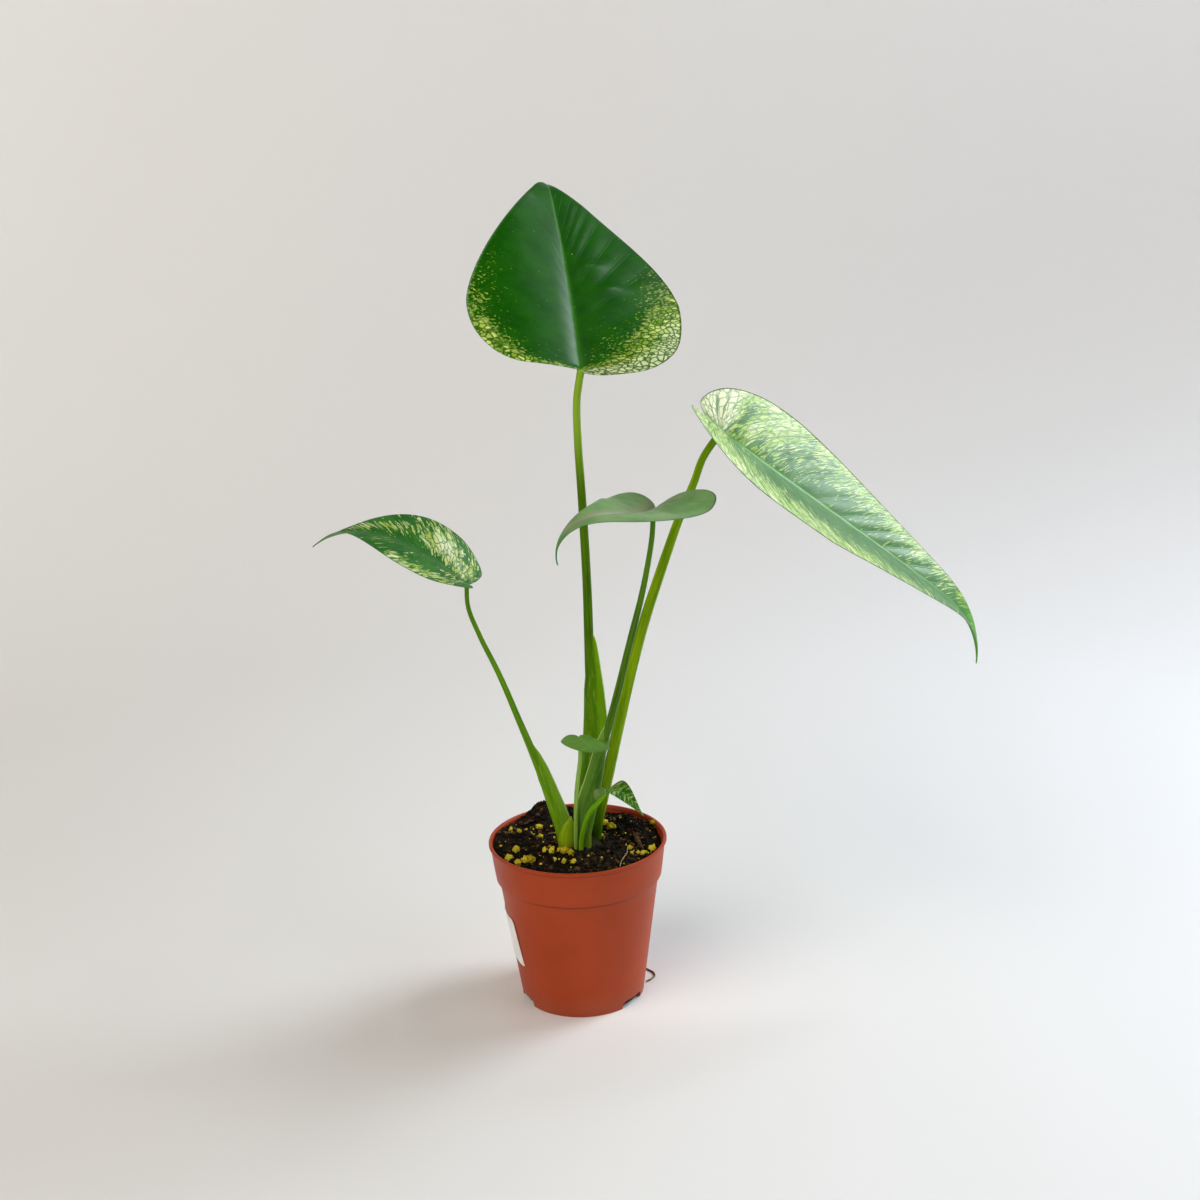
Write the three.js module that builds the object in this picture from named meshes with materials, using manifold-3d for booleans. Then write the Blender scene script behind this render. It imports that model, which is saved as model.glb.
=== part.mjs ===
// A young potted monstera with six leaves, in a twelve centimetre terracotta coloured nursery pot.
// Units are millimetres and +Z is up. The origin is the middle of the pot's underside, on the surface
// that the pot stands on. -Y is the front, and the long cream marbled leaf hangs out to +X.

import * as THREE from "three";
import Module from "manifold-3d";

const wasm = await Module();
wasm.setup();

// The pot: a thin moulded nursery pot with a stepped collar, a small lip and three foot notches.
const POT = {
  height: 112,
  footRadius: 41.7,
  bodyTopRadius: 54,
  ledgeHeight: 86.5,
  collarBottomRadius: 56,
  collarTopRadius: 59,
  lipRadius: 60,
  lipHeight: 2.2,
  wall: 1.4,
  floor: 1.6,
  innerLedgeRise: 2,
  lipWall: 1.4,
  lipRound: 0.5,
  sides: 64,
};
const NOTCH = { angles: [53, 173, 293], width: 28, height: 5, innerRadius: 34, steps: 4 };

// The blank label, a rectangle wrapped round the left of the pot's body. Angles are from the front to +X.
const LABEL = {
  rightAngle: -55.5,
  angleWide: 54,
  lean: -5,
  bottom: 30,
  tall: 33.5,
  rise: 5,
  thickness: 0.6,
  columns: 14,
};

// The soil: a crumbly top with a heap at the back left, and grains that lie half sunk in it.
const SOIL = {
  level: 103.5,
  heap: { x: -24, y: 43, height: 9.5, spread: 15 },
  collarHeap: { height: 3, spread: 17 },
  hollow: { x: 30, y: 34, depth: 2.5, spread: 20 },
  crumb: 0.8,
  crumbWaves: [0.83, 1.9, 0.41, 0.97, 2.3, 0.37],
  sides: 36,
  rings: 10,
};
const GRAINS = {
  kinds: [
    { count: 36, sizes: [1.3, 2.6], flatness: 0.75 },
    { count: 8, sizes: [2.2, 4], flatness: 0.35 },
  ],
  narrowness: 0.8,
  tilt: 0.5,
  rise: 0.15,
  fromWall: 5,
  fromCrown: 3,
  seed: 12,
};

// Clearances between pieces that touch each other. The soil stands off the pot's side by a little more.
const GAP = 0.3;
const SIDE_GAP = 0.4;

// The crown, the short stem that all the leaf stalks grow from.
const CROWN = {
  x: 3,
  y: -1,
  stretch: 1.3,
  bottom: 88,
  bulge: 94,
  shoulder: 103,
  top: 111,
  bottomRadius: 9.6,
  radius: 12,
  topRadius: 6.5,
  sides: 28,
};

// Leaf blades. Lengths are in millimetres and angles in degrees. Pairs are left, right, seen from above with
// the tip pointing away. half is how wide each half is. lobe is how far each lobe reaches back behind the
// stalk and widest how far forward the blade is widest, both as shares of the length. reach is how far out
// each lobe reaches back most, as a share of its half, and square is 2 for a round lobe and more for a
// squarer one. taper and fullness shape the margin towards the tip. heading is measured from +X to +Y, pitch
// is upward from level, and the midrib bends down by droop over its length, with hook more at the tip. fold
// is how steeply each half rises from the midrib, and cup how much it turns down again by its edge. lobeLift
// raises each lobe beside the stalk, and lobeBend is how evenly across.
const BLADES = {
  tall: {
    length: 190, half: [71.5, 71.5], lobe: [0.015, 0.06], reach: [0.47, 0.47], square: [2, 2],
    widest: [0.26, 0.29], taper: [1.56, 1.56], fullness: [1.17, 1.17], at: [13.6, 12, 424.9],
    heading: 95.5, turn: 5, pitch: 41, droop: 4, droopPower: 1.8, hook: 45, hookFrom: 0.85,
    roll: 7.5, twist: 15, fold: [18, 14], cup: [37, 16], lobeLift: [0.13, 0.32], lobeBend: [1, 1],
    rows: 26, colour: 0x1f6a1c,
  },
  right: {
    length: 239, half: [53.5, 51.5], lobe: [0.095, 0.09], reach: [0.18, 0.44], square: [1.9, 3],
    widest: [0.17, 0.36], taper: [1.43, 1.25], fullness: [1.28, 1.34], at: [100.6, 0, 384.3],
    heading: -17.3, turn: 39.6, pitch: -36.3, droop: 5.4, droopPower: 2, hook: 51.5, hookFrom: 0.73,
    roll: 8.7, twist: 25, fold: [18, 13], cup: [8.6, 14.3], lobeLift: [0.2, 0.27], lobeBend: [0.76, 0.74],
    rows: 28, colour: 0x9cc28a,
  },
  middle: {
    length: 100, half: [42, 29], lobe: [0.12, 0.07], reach: [0.12, 0.14], square: [1.9, 1.9],
    widest: [0.12, 0.13], taper: [1.1, 1.1], fullness: [1.14, 1.43], at: [54.9, -50, 344.8],
    heading: 246.7, turn: -55, pitch: 9, droop: 23.7, droopPower: 2.7, hook: 91.7, hookFrom: 0.52,
    roll: -15.6, twist: -4, fold: [14.8, 16], cup: [-2.6, 45], lobeLift: [0.8, 0.41], lobeBend: [0.4, 0.62],
    rows: 24, colour: 0x5f8f58,
  },
  left: {
    length: 117, half: [35, 35], lobe: [0.04, 0.04], reach: [0.45, 0.45], square: [2, 2],
    widest: [0.28, 0.23], taper: [1.49, 1.49], fullness: [1.38, 1.38], at: [-64, -10, 293.7],
    heading: 173, turn: -15, pitch: 40, droop: 78, droopPower: 1.7, hook: 0, hookFrom: 0.8,
    roll: -5, twist: 7, fold: [13, 27], cup: [30, 22], lobeLift: [0.5, -0.3], lobeBend: [1, 1],
    rows: 24, colour: 0x4c7c3a,
  },
  small: {
    length: 33, half: [11.5, 14.4], lobe: [0.135, 0.18], reach: [0.42, 0.37], square: [2, 2],
    widest: [0.26, 0.17], taper: [1.69, 1.36], fullness: [1, 1.2], at: [4.4, -28, 193],
    heading: 294.8, turn: 24.4, pitch: -8, droop: -31, droopPower: 1.9, hook: 0, hookFrom: 0.8,
    roll: -3.5, twist: 25, fold: [-11, 8.7], cup: [2.2, 9], lobeLift: [0.15, -0.49], lobeBend: [1.5, 1.8],
    rows: 14, colour: 0x5f8f58,
  },
  baby: {
    length: 46, half: [9.3, 9], lobe: [-0.03, 0.18], reach: [0.16, 0.29], square: [2.4, 1.7],
    widest: [0.23, 0.35], taper: [1.53, 1.43], fullness: [1.8, 1.1], at: [18.8, -20, 150.3],
    heading: -56.5, turn: 7, pitch: 55, droop: 99.4, droopPower: 0.7, hook: 0, hookFrom: 0.8,
    roll: -8.3, twist: 46, fold: [27, 24], cup: [13.4, 12.6], lobeLift: [-0.03, 0.17], lobeBend: [0.4, 1.5],
    rows: 14, colour: 0x3f7f22,
  },
};
const BLADE_THICKNESS = 0.8;
const RIB_THINS = 0.8;
// A large blade is one that is longer than this. relief is how far the blade rises between its side veins,
// and across the columns of points from the midrib to the margin.
const LARGE_LENGTH = 60;
const LARGE = { ribHeight: 1.2, relief: 0.3, across: [0, 0.05, 0.22, 0.45, 0.72, 1] };
const LITTLE = { ribHeight: 0.5, relief: 0.1, across: [0, 0.05, 0.22, 0.72, 1] };
// The side veins. Those of the first rows leave the midrib together, close to the stalk, and each bends
// towards the tip on its way to the margin.
const VEIN = { fanRows: 0.22, fanLength: 0.03, crowding: 1.2, bendOut: 0.55, bendForward: 0.35 };
const LOBE_ZONE = 0.14;
const HOOK_POWER = 1.5;
const RIB_STEPS = 160;
const MARGIN_STEPS = { turn: 24, tail: 60 };

// Leaf stalks, from the crown up. Each point is x, y, z, width and depth. channel is the way that the
// stalk's groove faces, with the width across it.
const STALKS = {
  tall: {
    channel: [0.8, -0.6, 0],
    points: [
      [2.2, 5, 100, 7.5, 8], [3, 5, 116, 7.5, 10], [6, 6, 136, 8, 12], [10.6, 7, 165, 9, 16],
      [13.6, 7.5, 185, 9, 17], [13.8, 8, 215, 7.4, 11], [13, 9, 245, 6.2, 6.6], [12.4, 10, 285, 5.8, 5.8],
      [11.2, 11, 341, 5.4, 5.4], [9.9, 12, 380, 5, 5], [10.2, 12, 405, 4.8, 4.8],
    ],
    colour: 0x55860f,
  },
  right: {
    channel: [-0.9, -0.3, 0.35],
    points: [
      [12, 6.5, 100, 7, 7], [13.2, 6.8, 116, 7, 7], [20.2, 9, 150, 7, 8], [28.6, 10, 185, 7, 7.6],
      [38.6, 10, 226, 6.8, 7], [49.5, 9, 260, 6.4, 6.4], [61.3, 7, 294, 6, 6], [73, 6, 327, 5.4, 5.4],
      [83.4, 4, 352, 4.9, 4.9], [89, 2.5, 367, 4.7, 4.7],
    ],
    colour: 0x6a8f12,
  },
  middle: {
    channel: [-0.6, 0.8, 0],
    points: [
      [7.5, -8, 100, 9.5, 7], [8.6, -8.4, 115, 11, 7.5], [12.8, -10, 149, 13, 7.5], [17, -12, 168, 12.5, 7],
      [21.4, -13.8, 185, 10.5, 6.6], [25.6, -16, 200, 6.6, 6], [31.5, -20, 222, 5.4, 5.4],
      [40, -27, 257, 4.6, 4.6], [46.5, -34, 285, 4, 4], [50.7, -41, 308, 3.5, 3.5],
      [53.8, -47, 329, 3.2, 3.2],
    ],
    colour: 0x3f7722,
  },
  left: {
    channel: [0.9, -0.4, 0.2],
    points: [
      [-7.2, -2, 100, 7, 10], [-9, -2.6, 114, 7, 10], [-14, -4, 132, 6.4, 8.4], [-23.2, -5, 163, 5, 6],
      [-35, -7, 198, 4.2, 4.2], [-46.6, -8, 231, 3.6, 3.6], [-58, -9, 258.5, 3.1, 3.1],
      [-64.2, -9.8, 278, 2.9, 2.9],
    ],
    colour: 0x6f9a1c,
  },
  small: {
    channel: [0, -1, 0.3],
    points: [
      [-0.9, -10.8, 101, 2.9, 2.9], [-0.9, -13.5, 116, 2.9, 2.9], [0.6, -18, 148, 2.8, 2.8],
      [2.3, -22, 164, 2.7, 2.7], [4.2, -25.5, 178, 2.6, 2.6],
    ],
    colour: 0x7fae2a,
  },
  baby: {
    channel: [0, -1, 0.3],
    points: [
      [2.6, -13.2, 103, 2.4, 2.4], [3.2, -14.6, 115, 2.4, 2.4], [4.4, -16, 125, 2.4, 2.4],
      [7.4, -17.6, 133.5, 2.4, 2.4], [12, -19.4, 139.8, 2.3, 2.3], [16.4, -20.6, 144.6, 2.2, 2.2],
    ],
    colour: 0x8cc019,
  },
};
const STALK_SIDES = 12;
const STALK_STEPS = 3;
const CHANNEL = { depth: 0.16, spread: 0.4, ends: 250, leastWidth: 4 };

// A root that has grown out of the back notch and lies curled on the surface, to the right of the foot.
const ROOT = {
  diameter: 1.1,
  points: [
    [8.5, 37.5], [14, 44], [26, 44.5], [37, 35], [41, 26], [45.5, 20.5], [49, 16], [49.6, 11.5], [47, 6.5],
    [43.6, 3.5],
  ],
  lift: 0.05,
  steps: 40,
  sides: 6,
};

const degrees = (angle) => (angle * Math.PI) / 180;
const gauss = (distance, spread) => Math.exp(-((distance / spread) ** 2));

// Random numbers from a seed, the same on each run.
function seeded(seed) {
  let state = seed;
  return () => {
    state = (state * 1664525 + 1013904223) % 4294967296;
    return state / 4294967296;
  };
}

function indexed(points, triangles) {
  const geometry = new THREE.BufferGeometry();
  geometry.setAttribute("position", new THREE.Float32BufferAttribute(points.flat(), 3));
  geometry.setIndex(triangles.flat());
  return geometry;
}

// Solids for cutting and joining.
function toSolid(geometry) {
  const vertProperties = new Float32Array(geometry.attributes.position.array);
  const triVerts = new Uint32Array(geometry.index.array);
  return new wasm.Manifold(new wasm.Mesh({ numProp: 3, vertProperties, triVerts }));
}

function fromSolid(solid) {
  const mesh = solid.getMesh();
  const geometry = new THREE.BufferGeometry();
  geometry.setAttribute("position", new THREE.Float32BufferAttribute(mesh.vertProperties, 3));
  geometry.setIndex(Array.from(mesh.triVerts));
  return geometry;
}

// The largest body of a solid, without the scraps that a cut may leave.
function largest(solid) {
  const bodies = solid.decompose();
  bodies.sort((a, b) => b.volume() - a.volume());
  return bodies[0];
}

// A closed skin over rings of points, from the first ring to the last, with its ends filled from a middle
// point or a given apex. The rings run anticlockwise seen against the way that they are stacked.
function loft(rings, firstApex, lastApex) {
  const count = rings[0].length;
  const middle = (ring) => [0, 1, 2].map((axis) => ring.reduce((sum, p) => sum + p[axis], 0) / count);
  const points = rings.flat();
  const triangles = [];
  for (let r = 0; r + 1 < rings.length; r += 1) {
    for (let k = 0; k < count; k += 1) {
      const next = (k + 1) % count;
      const a = r * count + k;
      const b = r * count + next;
      triangles.push([a, b, b + count], [a, b + count, a + count]);
    }
  }
  const first = points.push(firstApex ?? middle(rings[0])) - 1;
  const last = points.push(lastApex ?? middle(rings[rings.length - 1])) - 1;
  const top = (rings.length - 1) * count;
  for (let k = 0; k < count; k += 1) {
    const next = (k + 1) % count;
    triangles.push([first, next, k], [last, top + k, top + next]);
  }
  return indexed(points, triangles);
}

function turned(profile, sides, stretch = 1, x = 0, y = 0) {
  const rings = profile.map(([radius, z]) =>
    Array.from({ length: sides }, (_, k) => {
      const angle = (k / sides) * 2 * Math.PI;
      return [x + stretch * radius * Math.cos(angle), y + radius * Math.sin(angle), z];
    }),
  );
  return loft(rings);
}

// Pot
function bodyRadius(z) {
  return POT.footRadius + ((POT.bodyTopRadius - POT.footRadius) * z) / POT.ledgeHeight;
}

// Radius of the inside of the pot's body and of its collar, at a height.
function innerBodyRadius(z) {
  return bodyRadius(z) - POT.wall;
}

function innerCollarRadius(z) {
  const ledge = POT.ledgeHeight + POT.innerLedgeRise;
  const slope = (POT.collarTopRadius - POT.collarBottomRadius) / (POT.height - ledge);
  return POT.collarBottomRadius - POT.wall + slope * (z - ledge);
}

function potGeometry() {
  const { height, ledgeHeight, lipHeight, lipRadius, lipRound, lipWall } = POT;
  const innerLedge = ledgeHeight + POT.innerLedgeRise;
  const outline = [
    [POT.footRadius, 0],
    [POT.bodyTopRadius, ledgeHeight],
    [POT.collarBottomRadius, ledgeHeight],
    [POT.collarTopRadius, height - lipHeight],
    [lipRadius, height - lipHeight],
    [lipRadius, height - lipRound],
    [lipRadius - lipRound, height],
    [lipRadius - lipWall, height],
    [innerCollarRadius(height - lipRound), height - lipRound],
    [innerCollarRadius(innerLedge), innerLedge],
    [innerBodyRadius(ledgeHeight), ledgeHeight],
    [innerBodyRadius(POT.floor), POT.floor],
  ];
  let pot = toSolid(turned(outline, POT.sides));
  for (const angle of NOTCH.angles) {
    pot = pot.subtract(toSolid(notchCutter(angle)));
  }
  return fromSolid(pot);
}

// A wedge that cuts one notch through the foot. The angle is from the front towards +X.
function notchCutter(angle) {
  const outer = POT.footRadius + NOTCH.height;
  const ring = (z) => {
    const arc = (radius, from, to) =>
      Array.from({ length: NOTCH.steps + 1 }, (_, k) => {
        const a = degrees(angle - 90 + from + ((to - from) * k) / NOTCH.steps);
        return [radius * Math.cos(a), radius * Math.sin(a), z];
      });
    const half = NOTCH.width / 2;
    return [...arc(NOTCH.innerRadius, half, -half), ...arc(outer, -half, half)];
  };
  return loft([ring(-1), ring(NOTCH.height)]);
}

// Label
function labelGeometry() {
  const at = (across, up, lift) => {
    const angle = degrees(LABEL.rightAngle + LABEL.lean * up - LABEL.angleWide * across - 90);
    const z = LABEL.bottom + LABEL.tall * up + LABEL.rise * across;
    const radius = bodyRadius(z) + lift;
    return [radius * Math.cos(angle), radius * Math.sin(angle), z];
  };
  const rings = [];
  for (let k = 0; k <= LABEL.columns; k += 1) {
    const across = k / LABEL.columns;
    const outer = GAP + LABEL.thickness;
    rings.push([at(across, 0, GAP), at(across, 0, outer), at(across, 1, outer), at(across, 1, GAP)]);
  }
  return loft(rings);
}

// Soil
function soilHeight(x, y) {
  const { heap, hollow, collarHeap, crumbWaves } = SOIL;
  const [a, b, c, d, e, f] = crumbWaves;
  const crumbs = Math.sin(a * x + b * Math.sin(c * y)) + Math.sin(d * y + e * Math.sin(f * x));
  return (
    SOIL.level +
    heap.height * gauss(Math.hypot(x - heap.x, y - heap.y), heap.spread) +
    collarHeap.height * gauss(Math.hypot(x - CROWN.x, y - CROWN.y), collarHeap.spread) -
    hollow.depth * gauss(Math.hypot(x - hollow.x, y - hollow.y), hollow.spread) +
    (SOIL.crumb * crumbs) / 2
  );
}

function ringAt(radius, z) {
  return Array.from({ length: SOIL.sides }, (_, k) => {
    const angle = (k / SOIL.sides) * 2 * Math.PI;
    const point = [radius * Math.cos(angle), radius * Math.sin(angle)];
    return [...point, typeof z === "function" ? z(...point) : z];
  });
}

function grain(random, { sizes, flatness }) {
  const size = sizes[0] + (sizes[1] - sizes[0]) * random();
  const reach = innerCollarRadius(SOIL.level) - GRAINS.fromWall;
  const clear = CROWN.radius * CROWN.stretch + GRAINS.fromCrown;
  const radius = Math.sqrt(clear ** 2 + (reach ** 2 - clear ** 2) * random());
  const angle = 2 * Math.PI * random();
  const x = radius * Math.cos(angle);
  const y = radius * Math.sin(angle);
  const lump = new THREE.IcosahedronGeometry(1, 0);
  lump.scale(size, size * GRAINS.narrowness, size * flatness);
  lump.rotateZ(Math.PI * random());
  lump.rotateX(GRAINS.tilt * random());
  lump.translate(x, y, soilHeight(x, y) + GRAINS.rise * size);
  return toSolid(welded(lump));
}

// A closed geometry with its shared corners joined.
function welded(geometry) {
  const places = new Map();
  const points = [];
  const index = [];
  const position = geometry.attributes.position;
  for (let k = 0; k < position.count; k += 1) {
    const point = [position.getX(k), position.getY(k), position.getZ(k)];
    const key = point.map((value) => value.toFixed(4)).join();
    if (!places.has(key)) {
      places.set(key, points.push(point) - 1);
    }
    index.push(places.get(key));
  }
  return indexed(points, [index]);
}

function soilGeometry(hollows) {
  const ledge = POT.ledgeHeight + POT.innerLedgeRise;
  const floor = POT.floor + GAP;
  const edge = innerCollarRadius(SOIL.level) - SIDE_GAP;
  const rings = [
    ringAt(innerBodyRadius(floor) - SIDE_GAP, floor),
    ringAt(innerBodyRadius(POT.ledgeHeight) - SIDE_GAP, POT.ledgeHeight + GAP),
    ringAt(innerCollarRadius(ledge) - SIDE_GAP, ledge + GAP),
  ];
  for (let r = SOIL.rings; r > 0; r -= 1) {
    rings.push(ringAt((edge * r) / SOIL.rings, soilHeight));
  }
  let soil = toSolid(loft(rings, [0, 0, floor], [0, 0, soilHeight(0, 0)]));
  const random = seeded(GRAINS.seed);
  for (const kind of GRAINS.kinds) {
    for (let k = 0; k < kind.count; k += 1) {
      soil = soil.add(grain(random, kind));
    }
  }
  for (const hollow of hollows) {
    soil = soil.subtract(hollow);
  }
  return fromSolid(largest(soil));
}

// Crown
function crownSolid(grow) {
  const outline = [
    [CROWN.bottomRadius + grow, CROWN.bottom - grow],
    [CROWN.radius + grow, CROWN.bulge],
    [CROWN.radius + grow, CROWN.shoulder + grow],
    [CROWN.topRadius + grow, CROWN.top + grow],
  ];
  return toSolid(turned(outline, CROWN.sides, CROWN.stretch, CROWN.x, CROWN.y));
}

// Blades
// One half of the margin, from the stalk to the tip: x in half widths and y in lengths, evenly spaced.
function marginLine(blade, side, rows) {
  const [lobe, widest, reach] = [blade.lobe[side], blade.widest[side], blade.reach[side]];
  const [taper, fullness, power] = [blade.taper[side], blade.fullness[side], 2 / blade.square[side]];
  const points = [];
  const { turn, tail } = MARGIN_STEPS;
  for (let k = 0; k <= turn; k += 1) {
    const a = (k / turn) * (Math.PI / 2);
    points.push([reach * (1 - Math.cos(a)), -lobe * Math.sin(a)]);
  }
  for (let k = 1; k <= turn; k += 1) {
    const a = (k / turn) * (Math.PI / 2);
    const x = reach + (1 - reach) * Math.sin(a) ** power;
    points.push([x, -lobe + (widest + lobe) * (1 - Math.cos(a) ** power)]);
  }
  for (let k = 1; k <= tail; k += 1) {
    const t = k / tail;
    points.push([(1 - t ** taper) ** fullness, widest + (1 - widest) * t]);
  }
  const aspect = blade.half[side] / blade.length;
  const lengths = [0];
  for (let k = 1; k < points.length; k += 1) {
    const [dx, dy] = [points[k][0] - points[k - 1][0], points[k][1] - points[k - 1][1]];
    lengths.push(lengths[k - 1] + Math.hypot(dx * aspect, dy));
  }
  const line = [];
  let at = 0;
  for (let i = 0; i <= rows; i += 1) {
    const want = (lengths[lengths.length - 1] * i) / rows;
    while (at + 2 < points.length && lengths[at + 1] < want) {
      at += 1;
    }
    const t = (want - lengths[at]) / (lengths[at + 1] - lengths[at]);
    line.push([0, 1].map((axis) => points[at][axis] + t * (points[at + 1][axis] - points[at][axis])));
  }
  return line;
}

// How far along the midrib the side vein to a row leaves it, as a share of the length.
function veinStart(u) {
  const { fanRows, fanLength, crowding } = VEIN;
  if (u < fanRows) {
    return (fanLength * u) / fanRows;
  }
  return fanLength + (1 - fanLength) * ((u - fanRows) / (1 - fanRows)) ** crowding;
}

// The midrib's line in space, with the blade's along, across and up directions at each step.
function midrib(blade) {
  const frames = [];
  const place = new THREE.Vector3(...blade.at);
  let before = null;
  for (let k = 0; k <= RIB_STEPS; k += 1) {
    const s = k / RIB_STEPS;
    const past = Math.max(0, (s - blade.hookFrom) / (1 - blade.hookFrom));
    const bend = blade.droop * s ** blade.droopPower + blade.hook * past ** HOOK_POWER;
    const pitch = degrees(blade.pitch - bend);
    const heading = degrees(blade.heading + blade.turn * s);
    const along = new THREE.Vector3(
      Math.cos(pitch) * Math.cos(heading),
      Math.cos(pitch) * Math.sin(heading),
      Math.sin(pitch),
    );
    if (before) {
      place.addScaledVector(before, blade.length / RIB_STEPS / 2);
      place.addScaledVector(along, blade.length / RIB_STEPS / 2);
    }
    before = along;
    const level = new THREE.Vector3(-Math.sin(heading), Math.cos(heading), 0);
    const normal = new THREE.Vector3().crossVectors(along, level);
    const roll = degrees(blade.roll + blade.twist * s);
    const across = level.clone().multiplyScalar(Math.cos(roll)).addScaledVector(normal, Math.sin(roll));
    const up = normal.clone().multiplyScalar(Math.cos(roll)).addScaledVector(level, -Math.sin(roll));
    frames.push({ place: place.clone(), along, across, up });
  }
  return (y) => {
    const s = Math.min(Math.max(y / blade.length, 0), 1) * RIB_STEPS;
    const k = Math.min(Math.floor(s), RIB_STEPS - 1);
    const mix = (name) => frames[k][name].clone().lerp(frames[k + 1][name], s - k);
    const along = mix("along").normalize();
    return {
      place: mix("place").addScaledVector(along, Math.min(y, 0)),
      along,
      across: mix("across").normalize(),
      up: mix("up").normalize(),
    };
  };
}

// A point of the blade's middle surface, from its row u (0 at the stalk, 1 at the tip) and its share t of
// the way from the midrib to the margin.
function bladePoint(blade, rib, side, u, t, edge, relief) {
  const half = blade.half[side];
  const edgeX = edge[0] * half;
  const edgeY = edge[1] * blade.length;
  const start = veinStart(u) * blade.length;
  const bendX = VEIN.bendOut * edgeX;
  const bendY = start + VEIN.bendForward * (edgeY - start);
  const x = 2 * t * (1 - t) * bendX + t * t * edgeX;
  const y = (1 - t) ** 2 * start + 2 * t * (1 - t) * bendY + t * t * edgeY;
  const fold = degrees(blade.fold[side]);
  const curve = -degrees(blade.cup[side]) / half;
  const angle = fold + curve * x;
  const spread = (Math.sin(angle) - Math.sin(fold)) / curve;
  const rise = (Math.cos(fold) - Math.cos(angle)) / curve;
  const back = Math.max(0, LOBE_ZONE - y / blade.length);
  const out = Math.min(x / half, 1) ** blade.lobeBend[side];
  const lift = blade.lobeLift[side] * back * blade.length * out;
  const frame = rib(y);
  const sign = side === 0 ? 1 : -1;
  return frame.place
    .addScaledVector(frame.across, sign * spread)
    .addScaledVector(frame.up, rise + lift + relief);
}

function grade(blade) {
  return blade.length > LARGE_LENGTH ? LARGE : LITTLE;
}

// The middle surface as a sheet, and how far its underside stands off at each point.
function bladeSheet(blade) {
  const { rows } = blade;
  const { ribHeight, relief, across } = grade(blade);
  const rib = midrib(blade);
  const points = [];
  const extra = [];
  const number = new Map();
  const add = (key, point, stand) => {
    if (!number.has(key)) {
      number.set(key, points.push(point.toArray()) - 1);
      extra.push(stand);
    }
    return number.get(key);
  };
  const triangles = [];
  for (const side of [0, 1]) {
    const margin = marginLine(blade, side, rows);
    const vertex = (i, j) => {
      const u = i / rows;
      const t = across[j];
      const atEnd = i === 0 || i === rows;
      const key = atEnd ? `end${i}` : j === 0 ? `rib${i}` : `${side},${i},${j}`;
      const wave = atEnd ? 0 : relief * (i % 2 ? 1 : -1) * Math.sin(Math.PI * t);
      const stand = j === 0 ? ribHeight * (1 - RIB_THINS * u) : 0;
      return add(key, bladePoint(blade, rib, side, u, t, margin[i], wave), stand);
    };
    for (let i = 0; i < rows; i += 1) {
      for (let j = 0; j + 1 < across.length; j += 1) {
        const corners = [vertex(i, j), vertex(i, j + 1), vertex(i + 1, j + 1), vertex(i + 1, j)];
        for (const [a, b, c] of [[0, 1, 2], [0, 2, 3]]) {
          const order = side === 0 ? [a, c, b] : [a, b, c];
          const face = order.map((n) => corners[n]);
          if (new Set(face).size === 3) {
            triangles.push(face);
          }
        }
      }
    }
  }
  return { points, triangles, extra };
}

// A sheet thickened both ways along its normals, with a wall round its open edge.
function thickened({ points, triangles, extra }, thickness) {
  const sheet = indexed(points, triangles);
  sheet.computeVertexNormals();
  const normal = sheet.attributes.normal;
  const moved = (k, far) => points[k].map((value, axis) => value + far * normal.getComponent(k, axis));
  const all = [
    ...points.map((_, k) => moved(k, thickness / 2)),
    ...points.map((_, k) => moved(k, -thickness / 2 - extra[k])),
  ];
  const below = points.length;
  const faces = [...triangles, ...triangles.map(([a, b, c]) => [a + below, c + below, b + below])];
  const edges = new Set(triangles.flatMap(([a, b, c]) => [`${a},${b}`, `${b},${c}`, `${c},${a}`]));
  for (const edge of edges) {
    const [a, b] = edge.split(",").map(Number);
    if (!edges.has(`${b},${a}`)) {
      faces.push([b, a, a + below], [b, a + below, b + below]);
    }
  }
  return indexed(all, faces);
}

function bladeGeometry(blade) {
  return thickened(bladeSheet(blade), BLADE_THICKNESS);
}

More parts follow.
